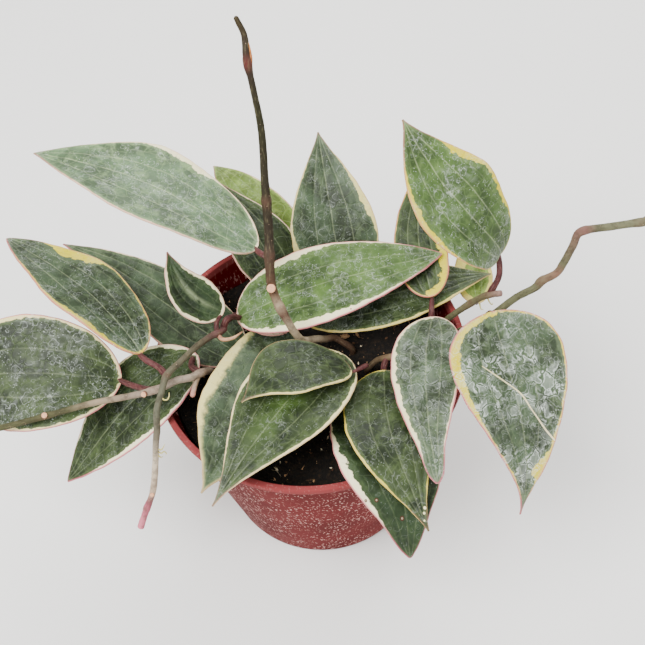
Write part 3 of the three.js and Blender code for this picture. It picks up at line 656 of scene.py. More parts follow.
leaves = {
    "leaf_back_left_long": {
        "green": "silver",
        "base": (-17, 30, 133), "tip": (-105, 72, 158), "width": 40, "roll": -7, "arch": 11, "sway": -1,
        "wave": 0.8, "widest": 0.51, "taper": 1.2,
        "stem": "stem_tall_shoot", "joint": (-12, 18, 138), "bends": [(-14, 24, 135)],
        "left": 0.4, "right": 0.9,
        "bulges": [("right", 0.42, 0.2, 2.2)], "yellow": 0.15, "residue": 0.6, "veins": 1.0, "pink": 0.35,
    },
    "leaf_back_left_under": {
        "green": "dark",
        "base": (-7, 35, 96.5), "tip": (-35, 84, 119.5), "width": 31, "roll": -8, "arch": 4, "skew": 0.8,
        "cup": 0.05, "widest": 0.34,
        "stem": "stem_back_stub", "joint": (-3, 38, 89), "bends": [(-7, 36, 92)],
        "left": 0.4, "right": 0.8, "residue": 0.15, "yellow": 0.1,
    },
    "leaf_back_left_far": {
        "green": "lime",
        "base": (0, 47, 95), "tip": (-37, 104, 109), "width": 29, "roll": 2, "arch": 11.5, "skew": 1.3,
        "sway": -2, "cup": 0.05, "widest": 0.31, "taper": 1.1,
        "stem": "stem_back_stub", "joint": (-3, 38, 89), "bends": [(-1, 42, 91)],
        "left": 0.5, "right": 0.7, "residue": 0.3, "yellow": 0.4,
    },
    "leaf_back_upright": {
        "green": "frosted",
        "base": (18, 34, 92), "tip": (13, 90, 137), "width": 38, "roll": 8, "arch": 5, "skew": 1.1,
        "stem": "stem_back_right_stub", "joint": (11, 43, 88), "bends": [(15, 38, 89)],
        "left": 0.7, "right": 0.7,
        "bulges": [("left", 0.25, 0.25, 2.6), ("right", 0.52, 0.22, 2.0)], "yellow": 0.6,
        "residue": 0.4, "veins": 0.6, "pink": 0.1,
    },
    "leaf_middle_right": {
        "green": "bright",
        "base": (-29, 18, 102), "tip": (59, 28, 120), "width": 37, "roll": -8, "arch": 4.6, "skew": 0.6,
        "sway": -1.5, "cup": 0.06, "widest": 0.39, "taper": 0.9,
        "stem": "stem_hanging", "joint": (-35, 10, 107.5), "bends": [(-33, 12, 111), (-30, 16, 107)],
        "left": 0.9, "right": 1.0,
        "bulges": [("left", 0.32, 0.26, 2.4), ("right", 0.36, 0.4, 2.6)], "splash": 0.7, "yellow": 0.1,
        "pink": 0.85, "residue": 0.55, "veins": 0.6,
        "spots": [(0.53, 16, 0.4, "702028", "904048")],
    },
    "leaf_middle_bud": {
        "green": "bright",
        "base": (-7, 16, 99), "tip": (-26, 15, 101), "width": 10, "arch": 1, "sway": -2, "cup": 0,
        "petiole": 0.9, "stem": "stem_middle_stub", "joint": (-5, 27, 93), "bends": [(-6, 21, 95)],
        "left": 1.6, "right": 1.4, "yellow": 0.0, "pink": 0.6, "residue": 0.1,
    },
    "leaf_right_low": {
        "green": "dark",
        "base": (-2, 21, 95), "tip": (80, 25, 107), "width": 30, "roll": -7, "arch": 4, "skew": 1.3,
        "sway": 1, "cup": 0.05, "widest": 0.49,
        "stem": "stem_middle_stub", "joint": (-5, 28, 89), "bends": [(-2, 25, 91)],
        "left": 0.5, "right": 0.9, "yellow": 0.75, "pink": 0.0,
        "residue": 0.3, "crackle": 0.2,
    },
    "leaf_right_upright": {
        "green": "dark",
        "base": (53, 13, 111), "tip": (58, 70, 132), "width": 22, "roll": 8, "arch": 0.5, "sway": -4.5,
        "cup": 0, "widest": 0.3, "taper": 0.9,
        "stem": "stem_right_short", "joint": (56, 7, 98), "bends": [(52, 4.5, 101), (52, 7.5, 108)],
        "left": 0.6, "right": 1.4,
        "bulges": [("right", 0.3, 0.45, 2.6)], "yellow": 1.0, "pink": 0.7, "residue": 0.1,
    },
    "leaf_right_tall": {
        "green": "bright",
        "base": (80, 16, 131), "tip": (44, 42, 184), "width": 37, "roll": 3, "twist": 25, "arch": 8,
        "skew": 0.7, "sway": -8, "wave": 0.8, "widest": 0.52, "taper": 1.4,
        "stem": "stem_right_short", "joint": (75, 5, 119), "bends": [(79, 9, 126)],
        "left": 0.3, "right": 0.5,
        "bulges": [("right", 0.66, 0.2, 2.6), ("right", 0.35, 0.3, 1.6), ("left", 0.55, 0.32, 2.0)],
        "yellow": 1.0, "pink": 0.3, "residue": 0.65, "veins": 0.8,
        "spots": [(0.3, -10, 0.5, "101808", "283018")],
    },
    "leaf_right_small": {
        "green": "lime",
        "base": (73, 16, 99), "tip": (74, 50, 107), "width": 16, "arch": 1, "cup": 0, "petiole": 1.0,
        "stem": "stem_right_short", "joint": (68, 7, 112), "bends": [(70, 11, 108), (72, 14, 103)],
        "left": 2.4, "right": 1.5, "bulges": [("left", 0.5, 0.3, 2.5)],
        "yellow": 0.8, "pink": 0.1, "residue": 0.2,
    },
    "leaf_left_young": {
        "green": "deep",
        "base": (-34, 15, 112), "tip": (-54, 33, 133), "width": 18, "roll": 11, "arch": 1, "sway": -5,
        "petiole": 0.9, "stem": "stem_hanging", "joint": (-38, 6, 109.5), "bends": [(-37, 10, 112)],
        "left": 1.2, "right": 1.3, "yellow": 0.15, "pink": 0.4,
        "residue": 0.08, "band": 0.3, "veins": 0.12,
    },
    "leaf_left_back": {
        "green": "frosted",
        "base": (-29, 8, 89), "tip": (-104, 61, 113), "width": 36, "roll": -7, "arch": 8, "skew": 1.6,
        "sway": -2, "cup": 0.05, "widest": 0.28,
        "stem": "stem_left_runner", "joint": (-30, -1, 89), "bends": [(-28, 3, 90)],
        "left": 0.4, "right": 0.8, "yellow": 0.1, "residue": 0.12,
        "veins": 0.5,
    },
    "leaf_left_raised": {
        "green": "frosted",
        "base": (-67, -6, 118), "tip": (-123, 52, 130), "width": 33, "roll": -22, "arch": 3, "skew": 0.7,
        "sway": 4, "wave": 0.8, "widest": 0.49, "taper": 0.9,
        "stem": "stem_hanging", "joint": (-55, -17, 118.5), "bends": [(-59, -14, 118), (-65, -9, 118)],
        "left": 0.9, "right": 0.9,
        "bulges": [("right", 0.68, 0.2, 4.8), ("left", 0.3, 0.3, 1.5)], "yellow": 1.0, "pink": 0.6,
        "residue": 0.55, "veins": 0.8,
    },
    "leaf_left_far": {
        "green": "dark",
        "base": (-77, -10, 107), "tip": (-173, 1, 96), "width": 48, "roll": 25, "arch": 10, "skew": 0.8,
        "sway": 4, "wave": 0.8, "widest": 0.4, "taper": 2,
        "stem": "stem_left_runner", "joint": (-65, -22, 114), "bends": [(-67, -18, 111), (-72, -14, 108)],
        "left": 1.1, "right": 1.3,
        "bulges": [("right", 0.55, 0.3, 0.8)], "yellow": 0.45, "pink": 0.8, "residue": 0.6, "veins": 0.35,
    },
    "leaf_left_front": {
        "green": "dark",
        "base": (-47, 2, 102), "tip": (-105, -37, 76), "width": 36, "arch": 10, "skew": 0.7, "sway": -1,
        "cup": 0.02, "widest": 0.37, "taper": 1,
        "stem": "stem_left_runner", "joint": (-46, -13, 110), "bends": [(-48, -8, 108)],
        "left": 0.9, "right": 1.2,
        "bulges": [("left", 0.5, 0.3, 1.2), ("right", 0.12, 0.15, 1.0)], "yellow": 0.0, "pink": 0.9,
        "residue": 0.25, "veins": 0.4,
    },
    "leaf_front_left_low": {
        "green": "frosted",
        "base": (-12, 20, 91), "tip": (-46, -61, 100), "width": 39, "roll": 9, "arch": 9, "skew": 0.9,
        "sway": -4, "cup": 0.05, "widest": 0.62, "taper": 1.6, "petiole": 1.1,
        "stem": "stem_middle_stub", "joint": (-5, 28, 88), "bends": [(-8, 25, 89)],
        "left": 1.0, "right": 1.6,
        "bulges": [("right", 0.45, 0.4, 3.0)], "yellow": 0.6, "pink": 0.1, "residue": 0.3, "veins": 0.1,
        "soft": 1.2,
    },
    "leaf_front_left": {
        "green": "dark",
        "base": (13, -5, 102), "tip": (-41, -70, 106), "width": 40, "roll": -1, "arch": 12, "sway": -1,
        "cup": 0.05, "widest": 0.43, "taper": 1.7,
        "stem": "stem_front_left_stub", "joint": (17, -10, 96), "bends": [(14, -10, 99)],
        "left": 0.7, "right": 0.7,
        "bulges": [("right", 0.35, 0.25, 1.0), ("left", 0.3, 0.25, 0.8)], "yellow": 0.4, "pink": 0.1,
        "residue": 0.3, "veins": 0.4, "splash": 0.5,
        "spots": [(0.74, -2, 0.35, "101808", "202810")],
    },
    "leaf_front_left_top": {
        "green": "dark",
        "base": (16, -20, 111), "tip": (-27, -36, 122), "width": 26, "arch": 5, "sway": 6, "cup": 0.05,
        "widest": 0.59, "taper": 1.8,
        "stem": "stem_front_left_stub", "joint": (17, -10, 97), "bends": [(21, -11, 100), (22, -16, 108)],
        "left": 0.7, "right": 0.2, "yellow": 0.6, "pink": 0.0,
        "residue": 0.25, "veins": 0.1, "petiole": 1.0,
    },
    "leaf_front_right": {
        "green": "dark",
        "base": (30, -12, 97), "tip": (38, -84, 96), "width": 34, "roll": 2, "arch": 12, "skew": 1.1,
        "sway": 6, "cup": 0.05, "widest": 0.44, "taper": 1.5,
        "stem": "stem_front_right_stub", "joint": (31, -4, 95), "bends": [(30, -9, 95)],
        "left": 0.3, "right": 0.7,
        "bulges": [("left", 0.85, 0.12, 0.8)], "yellow": 0.9, "pink": 0.0, "residue": 0.3, "veins": 0.3,
        "spots": [(0.9, -2, 0.6, "f0e8c8", "e0d8a0"), (0.92, -1, 0.5, "f0e8c8", "e0d8a0"),
                  (0.95, 0, 0.4, "f0e8c8", "e0d8a0")],
    },
    "leaf_front_right_low": {
        "green": "deep",
        "base": (16, -18, 93), "tip": (31, -86, 78), "width": 40, "roll": 2, "arch": 20, "skew": 1.3,
        "sway": -2, "cup": 0.05, "widest": 0.51, "taper": 1.2,
        "stem": "stem_front_left_stub", "joint": (17, -10, 91), "bends": [(17, -14, 91)],
        "left": 0.4, "right": 0.9,
        "bulges": [("right", 0.5, 0.35, 2.4)], "yellow": 0.05, "pink": 0.75, "residue": 0.2,
        "veins": 0.2, "blunt": 1.3,
        "spots": [(0.71, 10, 0.85, "a89078", "402818"), (0.7, 14, 0.6, "a89078", "402818"),
                  (0.82, 1.5, 0.95, "a89078", "402818")],
    },
    "leaf_right_front": {
        "green": "frosted",
        "base": (52, 3, 110), "tip": (43, -71, 108), "width": 28, "roll": -8, "arch": 7, "skew": 0.8,
        "sway": 3, "cup": 0, "widest": 0.32, "taper": 1.2,
        "stem": "stem_right_runner", "joint": (58, -2, 100), "bends": [(55, 0, 104), (53, 2, 109)],
        "left": 0.8, "right": 1.4,
        "bulges": [("right", 0.5, 0.4, 1.0)], "yellow": 0.2, "pink": 0.95, "residue": 0.35, "veins": 0.5,
        "crackle": 0.35, "blunt": 1.6,
    },
    "leaf_right_outer": {
        "green": "frosted",
        "base": (73, -9, 127), "tip": (78, -68, 68), "width": 46, "roll": 4, "arch": 16, "skew": 1.3,
        "sway": -1, "wave": 0.8, "widest": 0.22, "taper": 2,
        "stem": "stem_right_runner", "joint": (73, -3, 114), "bends": [(73, -5, 120)],
        "left": 1.1, "right": 1.0,
        "bulges": [("right", 0.2, 0.32, 3.2), ("left", 0.72, 0.1, 3.2)], "yellow": 1.0, "pink": 1.0,
        "residue": 0.45, "crackle": 1.0, "veins": 0.5, "anchor": 0.05,
    },
}


def stemNodes(name):  # stations of the solid nearest to the leaf joints and the old scars
    stem = stems[name]
    stations, _ = curveThrough(stem["route"], stemShape["stationStep"])
    wanted = [leaf["joint"] for leaf in leaves.values() if leaf["stem"] == name] + list(stem["nodes"])
    picked = {int(np.argmin(np.linalg.norm(stations - np.array(point), axis=1))) for point in wanted}
    return stations, sorted(picked)


def barkFinish(name, stops):
    bark = Finish(name, **{"Specular IOR Level": 0.12})
    skin = bark.attribute("bark", "Vector")
    streaks = bark.grain(bark.stretched(skin, (1.0, 1.0, 0.22)), 0.7, 3.0, 0.6)
    mottle = bark.grain(skin, 2.6, 3.0, 0.6)
    colour = bark.ramp(bark.attribute("along"), stops)
    colour = bark.blend(mottle.rise(0.42, 0.68) * 0.45, colour, tint(stemShape["mottle"]))
    colour = bark.blend(streaks.rise(0.5, 0.72) * 0.28, colour, tint(stemShape["streak"]))
    swollen = bark.attribute("node") * mottle.rise(0.3, 0.6)
    colour = bark.blend(swollen * 0.2, colour, tint(stemShape["nodeTint"]))
    dots = bark.cells(skin, 1.5).rise(0.2, 0.1) * mottle.rise(0.55, 0.62)
    colour = bark.blend(dots * 0.7, colour, tint(stemShape["dot"]))
    relief = bark.bump(streaks + 0.6 * mottle + 0.5 * dots, 0.22, 0.8)
    return bark.wear(colour=colour, roughness=0.55 + 0.25 * streaks, normal=relief)


def buildStem(name):
    stem = stems[name]
    points, length = curveThrough(stem["route"], stemShape["spacing"])
    stations, nodes = stemNodes(name)
    s = np.linspace(0, length, len(points))
    radii = stem["radius"] * np.interp(s / length, *zip(*stem["girth"]))
    swell = np.zeros(len(s))
    for k in nodes:
        centre = length * k / (len(stations) - 1)
        swell = np.maximum(swell, np.exp(-((s - centre) / stemShape["swellingReach"]) ** 2))
        away = (s - centre - stemShape["grooveAway"]) / stemShape["grooveReach"]
        radii = radii * (1 - stemShape["groove"] * np.exp(-(away ** 2)))
    wobble = [noise.noise((x / 6, stem["radius"] * 7, 0.5)) for x in s]
    radii = radii * (1 + stemShape["swelling"] * swell + stemShape["wobble"] * np.array(wobble))
    sides, blunt = stemShape["sides"], stem["girth"][-1][1] > stemShape["bluntFrom"]
    rings, faces, attributes = tube(points, radii, sides, blunt)
    lumps = [1 + stemShape["lumps"] * noise.noise(Vector(p) / stemShape["lumpSize"]) for p in rings]
    middle = np.repeat(rings.reshape(-1, sides, 3).mean(axis=1), sides, axis=0)
    rings = middle + (rings - middle) * np.array(lumps)[:, None]
    attributes["node"] = np.interp(attributes["bark"][:, 2], s, swell)
    material = barkFinish(name + "Bark", stem["bark"])
    piece = addPiece(name + "_bark", rings, faces, material, attributes)
    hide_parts(name)


for name in stems:
    buildStem(name)
print("stems built")

# blade: thickness, the outline's curves as in the solids, the fine mesh over them and the tints
blade = {
    "thickness": 1.2, "smallest": 0.4, "baseCurve": 2.2, "baseFullness": 0.55, "tipCurve": 1.7,
    "cupCurve": 1.5, "ripples": 2, "ripplePhase": 1.3, "tiny": 1e-3, "softened": 0.07,
    "stations": 84, "topColumns": 46, "underColumns": 18,
    "edgeSteps": (0.0, 0.07, 0.22, 0.45, 0.8), "edgeReach": 0.8,
    "longVeins": (0.0, -0.42, 0.42, -0.74, 0.74), "veinStrength": (1.0, 0.8, 0.8, 0.25, 0.25),
    "veinDepth": (0.3, 0.2, 0.2, 0.1, 0.1), "veinReach": 0.6,
    "ribHeight": (0.55, 0.25, 0.25, 0.1, 0.1), "ribReach": 0.9, "puff": 0.22,
    "splash": "587830", "band": "b8c898", "vein": "b0bc90", "cream": "f0e8c0", "yellow": "c8b808",
    "fleck": "d8d060", "blush": "e09890", "edge": "b85068", "residue": "d8e0d8",
    "underDark": "485838", "underLight": "687850",
}


def outlineWidth(t, widest, taper):
    rising = (1 - np.clip(1 - t / widest, 0, 1) ** blade["baseCurve"]) ** blade["baseFullness"]
    falling = (1 - np.clip((t - widest) / (1 - widest), 0, 1) ** blade["tipCurve"]) ** taper
    return np.where(t < widest, rising, falling)


def bladeSurface(leaf):
    base = np.array(leaf["base"], dtype=float)
    along = np.array(leaf["tip"], dtype=float) - base
    length = np.linalg.norm(along)
    along = along / length
    level = unit(np.cross(along, up))
    face = np.cross(level, along)
    roll = math.radians(leaf["roll"])
    side = level * math.cos(roll) + face * math.sin(roll)
    normal = face * math.cos(roll) - level * math.sin(roll)

    def midrib(t):
        t = t[..., None]
        arch = leaf["arch"] * np.sin(math.pi * t ** leaf["skew"])
        return base + along * length * t + normal * arch + side * leaf["sway"] * np.sin(math.pi * t)

    fine = np.linspace(0, 1, 601)
    blur = np.clip(0.3 * np.minimum(fine, 1 - fine), 1e-4, blade["softened"])[:, None]
    weights = np.exp(-(((fine[None] - fine[:, None]) / blur) ** 2) / 2)
    outline = weights @ outlineWidth(fine, leaf["widest"], leaf["taper"]) / weights.sum(axis=1)

    def halfWidth(t):
        rounded = leaf["blunt"] * fade(t, 0.8, 0.95) * np.sqrt(np.clip((1 - t) / 0.04, 0, 1))
        return leaf["width"] / 2 * np.interp(t, fine, outline) + blade["smallest"] + rounded

    def place(t, v, lift):
        t, v, lift = (np.asarray(a, dtype=float) for a in np.broadcast_arrays(t, v, lift))
        tiny = blade["tiny"]
        tangent = unit(midrib(np.minimum(1, t + tiny)) - midrib(np.maximum(0, t - tiny)))
        turn = (math.radians(leaf["twist"]) * t)[..., None]
        across = side * np.cos(turn) + normal * np.sin(turn)
        across = unit(across - tangent * (across * tangent).sum(axis=-1, keepdims=True))
        outward = np.cross(across, tangent)
        half = halfWidth(t)
        ripple = np.sin(2 * math.pi * blade["ripples"] * t + blade["ripplePhase"] * np.sign(v))
        wave = leaf["wave"] * ripple * v * v * np.sin(math.pi * t)
        rise = leaf["cup"] * half * np.abs(v) ** blade["cupCurve"] + wave
        return midrib(t) + across * (half * v)[..., None] + outward * (rise + lift)[..., None]

    return place, halfWidth, length


def veinLines(v, half, depths, reach):
    pairs = zip(blade["longVeins"], depths)
    return np.max([depth * np.exp(-(((v - line) * half) / reach) ** 2) for line, depth in pairs], axis=0)


class LeafFinish(Finish):  # the skin of one blade; across, half and edges are in millimetres
    def __init__(self, name, leaf, length, seed):
        super().__init__(name, **{"Specular IOR Level": 0.16, "Coat Weight": 0.02, "Coat Roughness": 0.3})
        self.leaf, self.length, self.layer = leaf, length, seed * 31.7
        self.t, self.across = self.attribute("along"), self.attribute("across")
        self.half, self.under = self.attribute("half"), self.attribute("under")
        self.edges = {side: self.attribute(side + "Edge") for side in ("left", "right")}
        self.skin = self.node("ShaderNodeCombineXYZ", {}, {0: self.t * length, 1: self.across, 2: self.layer})
        self.cloud = self.grain(self.skin, 13.0, 3.0, 0.55)
        self.patch = self.grain(self.skin, 4.2, 3.0, 0.55)
        self.wander = {"left": self.grain(self.skin, 8.0), "right": self.grain(self.skin, 9.5)}
        self.net = self.cells(self.warped(self.skin, 7.0, 5.0), 5.5, "DISTANCE_TO_EDGE").rise(0.075, 0.01)

    def margins(self):  # the ragged cream edge, and the paler green beside it
        leaf, jag = self.leaf, self.grain(self.skin, 3.0, 2.5, 0.55)
        margin, halo = 0.0, 0.0
        for side, edge in self.edges.items():
            width = leaf[side] * (0.35 + 1.3 * self.wander[side])
            for bulgeSide, centre, spread, extra in leaf["bulges"]:
                if bulgeSide == side:
                    width = width + self.t.hump(centre, spread) * extra
            width = width * (0.15 + 0.85 * self.t.rise(0.95, 0.72))
            ragged = width + 1.7 * (jag - 0.5) * width.least(2.6)
            margin = (ragged - edge).rise(-leaf["soft"], leaf["soft"]).most(margin)
            halo = (ragged * 1.35 + 1.8 * jag - edge).rise(-0.5, 0.5).most(halo)
        return margin, halo

    def veins(self):
        drift = self.across + 1.4 * (self.grain(self.skin, 16.0, 1.0) - 0.5)
        veins = 0.0
        for line, strength in zip(blade["longVeins"], blade["veinStrength"]):
            veins = ((drift - self.half * line).size().rise(0.42, 0.08) * strength).most(veins)
        return veins * self.patch.rise(0.2, 0.6) * self.leaf["veins"]

    def green(self, halo):
        leaf, patch = self.leaf, self.patch
        deep, mid, pale = (tint(code) for code in greens[leaf["green"]])
        green = self.blend(self.cloud.rise(0.36, 0.66), deep, mid)
        green = self.blend(patch.rise(0.48, 0.74) * 0.45, green, pale)
        if leaf["splash"]:
            middle = self.across.size().rise(9.0, 1.0) * self.t.hump(0.42, 0.4) * self.cloud.rise(0.32, 0.6)
            green = self.blend(middle * leaf["splash"] * 0.6, green, tint(blade["splash"]))
        if leaf["band"]:
            stripe = self.across.size().rise(1.9, 0.2) * self.t.hump(0.42, 0.45)
            stripe = stripe * leaf["band"] * patch.rise(0.3, 0.5)
            green = self.blend(stripe, green, tint(blade["band"]))
        green = self.blend(self.net * 0.22, green, pale)
        green = self.blend(self.veins() * 0.4, green, tint(blade["vein"]))
        return self.blend(halo * (0.25 + 0.35 * patch), green, pale)

    def cream(self):
        yellow = (0.85 + 0.15 * self.cloud.rise(0.3, 0.65)) * self.leaf["yellow"]
        creamy = self.blend(yellow, tint(blade["cream"]), tint(blade["yellow"]))
        return self.blend(self.patch.rise(0.5, 0.75) * 0.2, creamy, tint(blade["fleck"]))

    def flushed(self, body, margin):  # pink towards the very edge
        rim, pink = self.edges["left"].least(self.edges["right"]), self.leaf["pink"]
        flush = rim.rise(1.7, 0.0) * pink * margin * 0.55 * self.wander["left"].rise(0.3, 0.6)
        body = self.blend(flush, body, tint(blade["blush"]))
        line = rim.rise(0.75, 0.15) * min(1.0, 0.2 + pink) * 0.85
        return self.blend(line, body, tint(blade["edge"]))

    def crackle(self):  # thin plates with pale seams between them
        away = self.cells(self.warped(self.warped(self.skin, 6.0, 5.0), 1.5, 1.7), 4.8, "DISTANCE_TO_EDGE")
        crowded = self.grain(self.skin, 15.0).rise(0.36, 0.54)
        picked = self.grain(self.skin, 5.5, 1.0).rise(0.46, 0.54)
        plates = away.rise(0.03, 0.09) * picked * (0.4 + 0.6 * self.patch)
        seams = away.hump(0.08, 0.055) * (0.3 + 0.7 * picked)
        return (0.22 * plates + 0.42 * seams) * crowded

    def residue(self):  # dried water marks: film, crumpled outlines, small rings and specks
        leaf, skin = self.leaf, self.skin
        patches = self.grain(skin, 9.0, 3.0, 0.6).rise(0.42, 0.62)
        outlines = self.cells(self.warped(skin, 2.6, 2.8), 4.4).hump(0.42, 0.045) * patches
        rings = self.cells(self.warped(skin, 1.8, 1.5), 2.1).hump(0.4, 0.06)
        rings = rings * self.grain(skin, 6.0).rise(0.48, 0.6)
        specks = self.cells(skin, 1.0).rise(0.26, 0.12) * self.grain(skin, 3.4).rise(0.5, 0.62)
        film = patches * self.grain(skin, 2.2, 4.0, 0.7).rise(0.44, 0.62)
        marks = 0.24 * leaf["residue"] * film + 0.4 * outlines + 0.35 * rings + 0.6 * specks
        marks = marks * leaf["residue"]
        if leaf["crackle"]:
            marks = marks + self.crackle() * leaf["crackle"]
        return marks.least(0.85) * (1 - self.under)

    def spotted(self, body):
        for share, aside, radius, inner, outer in self.leaf["spots"]:
            ends = {0: self.skin, 1: (share * self.length, aside, self.layer)}
            away = self.node("ShaderNodeVectorMath", {"operation": "DISTANCE"}, ends, 1)
            body = self.blend(away.rise(radius, radius * 0.8), body, tint(outer))
            body = self.blend(away.rise(radius * 0.5, radius * 0.3), body, tint(inner))
        return body

    def dress(self):
        margin, halo = self.margins()
        creamy, residue = self.cream(), self.residue()
        body = self.flushed(self.blend(margin, self.green(halo), creamy), margin)
        body = self.spotted(self.blend(residue, body, tint(blade["residue"])))
        underside = self.blend(self.patch, tint(blade["underDark"]), tint(blade["underLight"]))
        underside = self.blend(margin, underside, creamy)
        height = 0.35 * self.grain(self.skin, 0.55) + 0.5 * self.patch - 0.45 * self.net + 0.4 * residue
        rough = 0.36 + 0.12 * self.cloud + 0.25 * residue
        return self.wear(colour=self.blend(self.under, body, underside), roughness=rough,
                         normal=self.bump(height, 0.3, 0.7))


# petioles: thinner towards the blade, with a small collar at the stem
petioles = {
    "sides": 16, "spacing": 0.6, "start": 0.4, "rootPlace": 0.02, "rootDepth": 1.1, "anchorDepth": 0.75,
    "thinning": 0.68, "thinningFrom": 0.45, "collar": 0.16, "collarAway": 1.2, "collarReach": 1.4,
    "dark": "402020", "light": "583030", "streak": "886858",
}


def petioleFinish(look):
    purple = Finish("purplePetiole", **{"Specular IOR Level": 0.2})
    skin = purple.attribute("bark", "Vector")
    streaks = purple.grain(purple.stretched(skin, (1.0, 1.0, 0.25)), 0.6, 3.0)
    mottle = purple.grain(skin, 2.0)
    colour = purple.blend(mottle.rise(0.35, 0.65), tint(look["dark"]), tint(look["light"]))
    colour = purple.blend(streaks.rise(0.52, 0.7) * 0.35, colour, tint(look["streak"]))
    return purple.wear(colour=colour, roughness=0.45 + 0.2 * mottle, normal=purple.bump(streaks, 0.15, 0.6))


def buildBlade(name, leaf, seed):
    place, halfWidth, length = bladeSurface(leaf)
    rows = blade["stations"]
    t = ((1 - np.cos(np.linspace(0, math.pi, rows))) / 2)[:, None]
    half = halfWidth(t)
    shrink = np.minimum(1, 0.45 * half / blade["edgeReach"])
    steps = np.array(blade["edgeSteps"])[None, :] * shrink
    inner = 1 - steps[:, -1:] / half

    def columns(count):
        core = np.linspace(-1, 1, count)[None, 1:-1] * inner
        return np.hstack([-1 + steps / half, core, (1 - steps / half)[:, ::-1]])

    def thickness(v):
        inset = np.clip((1 - np.abs(v)) * half / (blade["edgeReach"] * shrink), 0, 1)
        return blade["thickness"] / 2 * np.clip(half / 1.3, 0.4, 1) * np.sqrt(1 - (1 - inset) ** 2)

    top = columns(blade["topColumns"])
    under = columns(blade["underColumns"])[:, 1:-1]
    edgeShift = [[0.35 * noise.noise((x * length / 5, k * 9.1, seed)) for k in (0, 1)] for x in t[:, 0]]
    edgeShift = np.array(edgeShift)
    away = fade(np.minimum(t, 1 - t), 0, 0.08)

    def shifted(v):
        shift = np.where(v < 0, edgeShift[:, :1], edgeShift[:, 1:])
        return v * (1 + shift * np.abs(v) ** 6 * away / half)

    ends = fade(half, 1.0, 5.0)
    groove = veinLines(top, half, blade["veinDepth"], blade["veinReach"])
    puff = np.array([[noise.noise((x * length / 7, y / 5, seed * 3.3)) for y in row]
                     for x, row in zip(t[:, 0], top * half)])
    calm = fade((1 - np.abs(top)) * half, 0.2, 2.0) * ends
    topLift = thickness(top) + calm * (blade["puff"] * puff - groove)
    ribs = veinLines(under, half, blade["ribHeight"], blade["ribReach"])
    ribs = ribs * fade((1 - np.abs(under)) * half, 0.2, 2.0)
    underLift = -thickness(under) - ribs * ends
    upper = place(t, shifted(top), topLift)
    lower = place(t, shifted(under), underLift)[:, ::-1]
    grid = np.concatenate([upper, lower], axis=1)
    loop = grid.shape[1]
    points = grid.reshape(-1, 3)
    faces = []
    for i in range(rows - 1):
        for j in range(loop):
            k = (j + 1) % loop
            faces.append((i * loop + j, i * loop + k, (i + 1) * loop + k, (i + 1) * loop + j))
    faces.append(tuple(reversed(range(loop))))
    faces.append(tuple(range((rows - 1) * loop, rows * loop)))

    v = np.concatenate([top, under[:, ::-1]], axis=1)
    isUnder = np.concatenate([np.zeros_like(top), np.ones_like(under)], axis=1)
    flat = np.stack([np.broadcast_to(t * length, v.shape), v * half], axis=-1).reshape(-1, 2)
    fine = np.linspace(0, 1, 500)
    halfFine = halfWidth(fine)
    distances = {}
    for key, sign in (("leftEdge", -1), ("rightEdge", 1)):
        outline = np.stack([fine * length, sign * halfFine], axis=1)
        distances[key] = np.sqrt(((flat[:, None, :] - outline[None]) ** 2).sum(axis=2).min(axis=1))
    attributes = {
        "along": np.broadcast_to(t, v.shape).ravel(), "across": (v * half).ravel(),
        "half": np.broadcast_to(half, v.shape).ravel(), "under": isUnder.ravel(), **distances,
    }
    material = LeafFinish(name + "Skin", leaf, length, seed).dress()
    piece = addPiece(name + "_blade", points, faces, material, attributes)
    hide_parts(name)
    return place


def buildPetiole(name, leaf, place, material):
    stations, _ = stemNodes(leaf["stem"])
    node = stations[np.argmin(np.linalg.norm(stations - np.array(leaf["joint"]), axis=1))]
    root = place(petioles["rootPlace"], 0.0, -petioles["rootDepth"])
    anchor = place(leaf["anchor"], 0.0, -petioles["anchorDepth"])
    toward = unit(np.array(leaf["bends"][0]) - node)
    route = [node + toward * petioles["start"], *leaf["bends"], root, anchor]
    points, length = curveThrough(route, petioles["spacing"])
    s = np.linspace(0, length, len(points))
    radii = leaf["petiole"] * (1 - petioles["thinning"] * fade(s / length, petioles["thinningFrom"], 1.0))
    away = (s - stems[leaf["stem"]]["radius"] - petioles["collarAway"]) / petioles["collarReach"]
    radii = radii * (1 + petioles["collar"] * np.exp(-(away ** 2)))
    rings, faces, attributes = tube(points, radii, petioles["sides"])
    addPiece(name + "_petiole", rings, faces, material, attributes)


petioleSkin = petioleFinish(petioles)
for number, (name, form) in enumerate(leaves.items()):
    leaf = {**bladeDefaults, **form}
    surface = buildBlade(name, leaf, number + 1)
    buildPetiole(name, leaf, surface, petioleSkin)
print("leaves and petioles built")

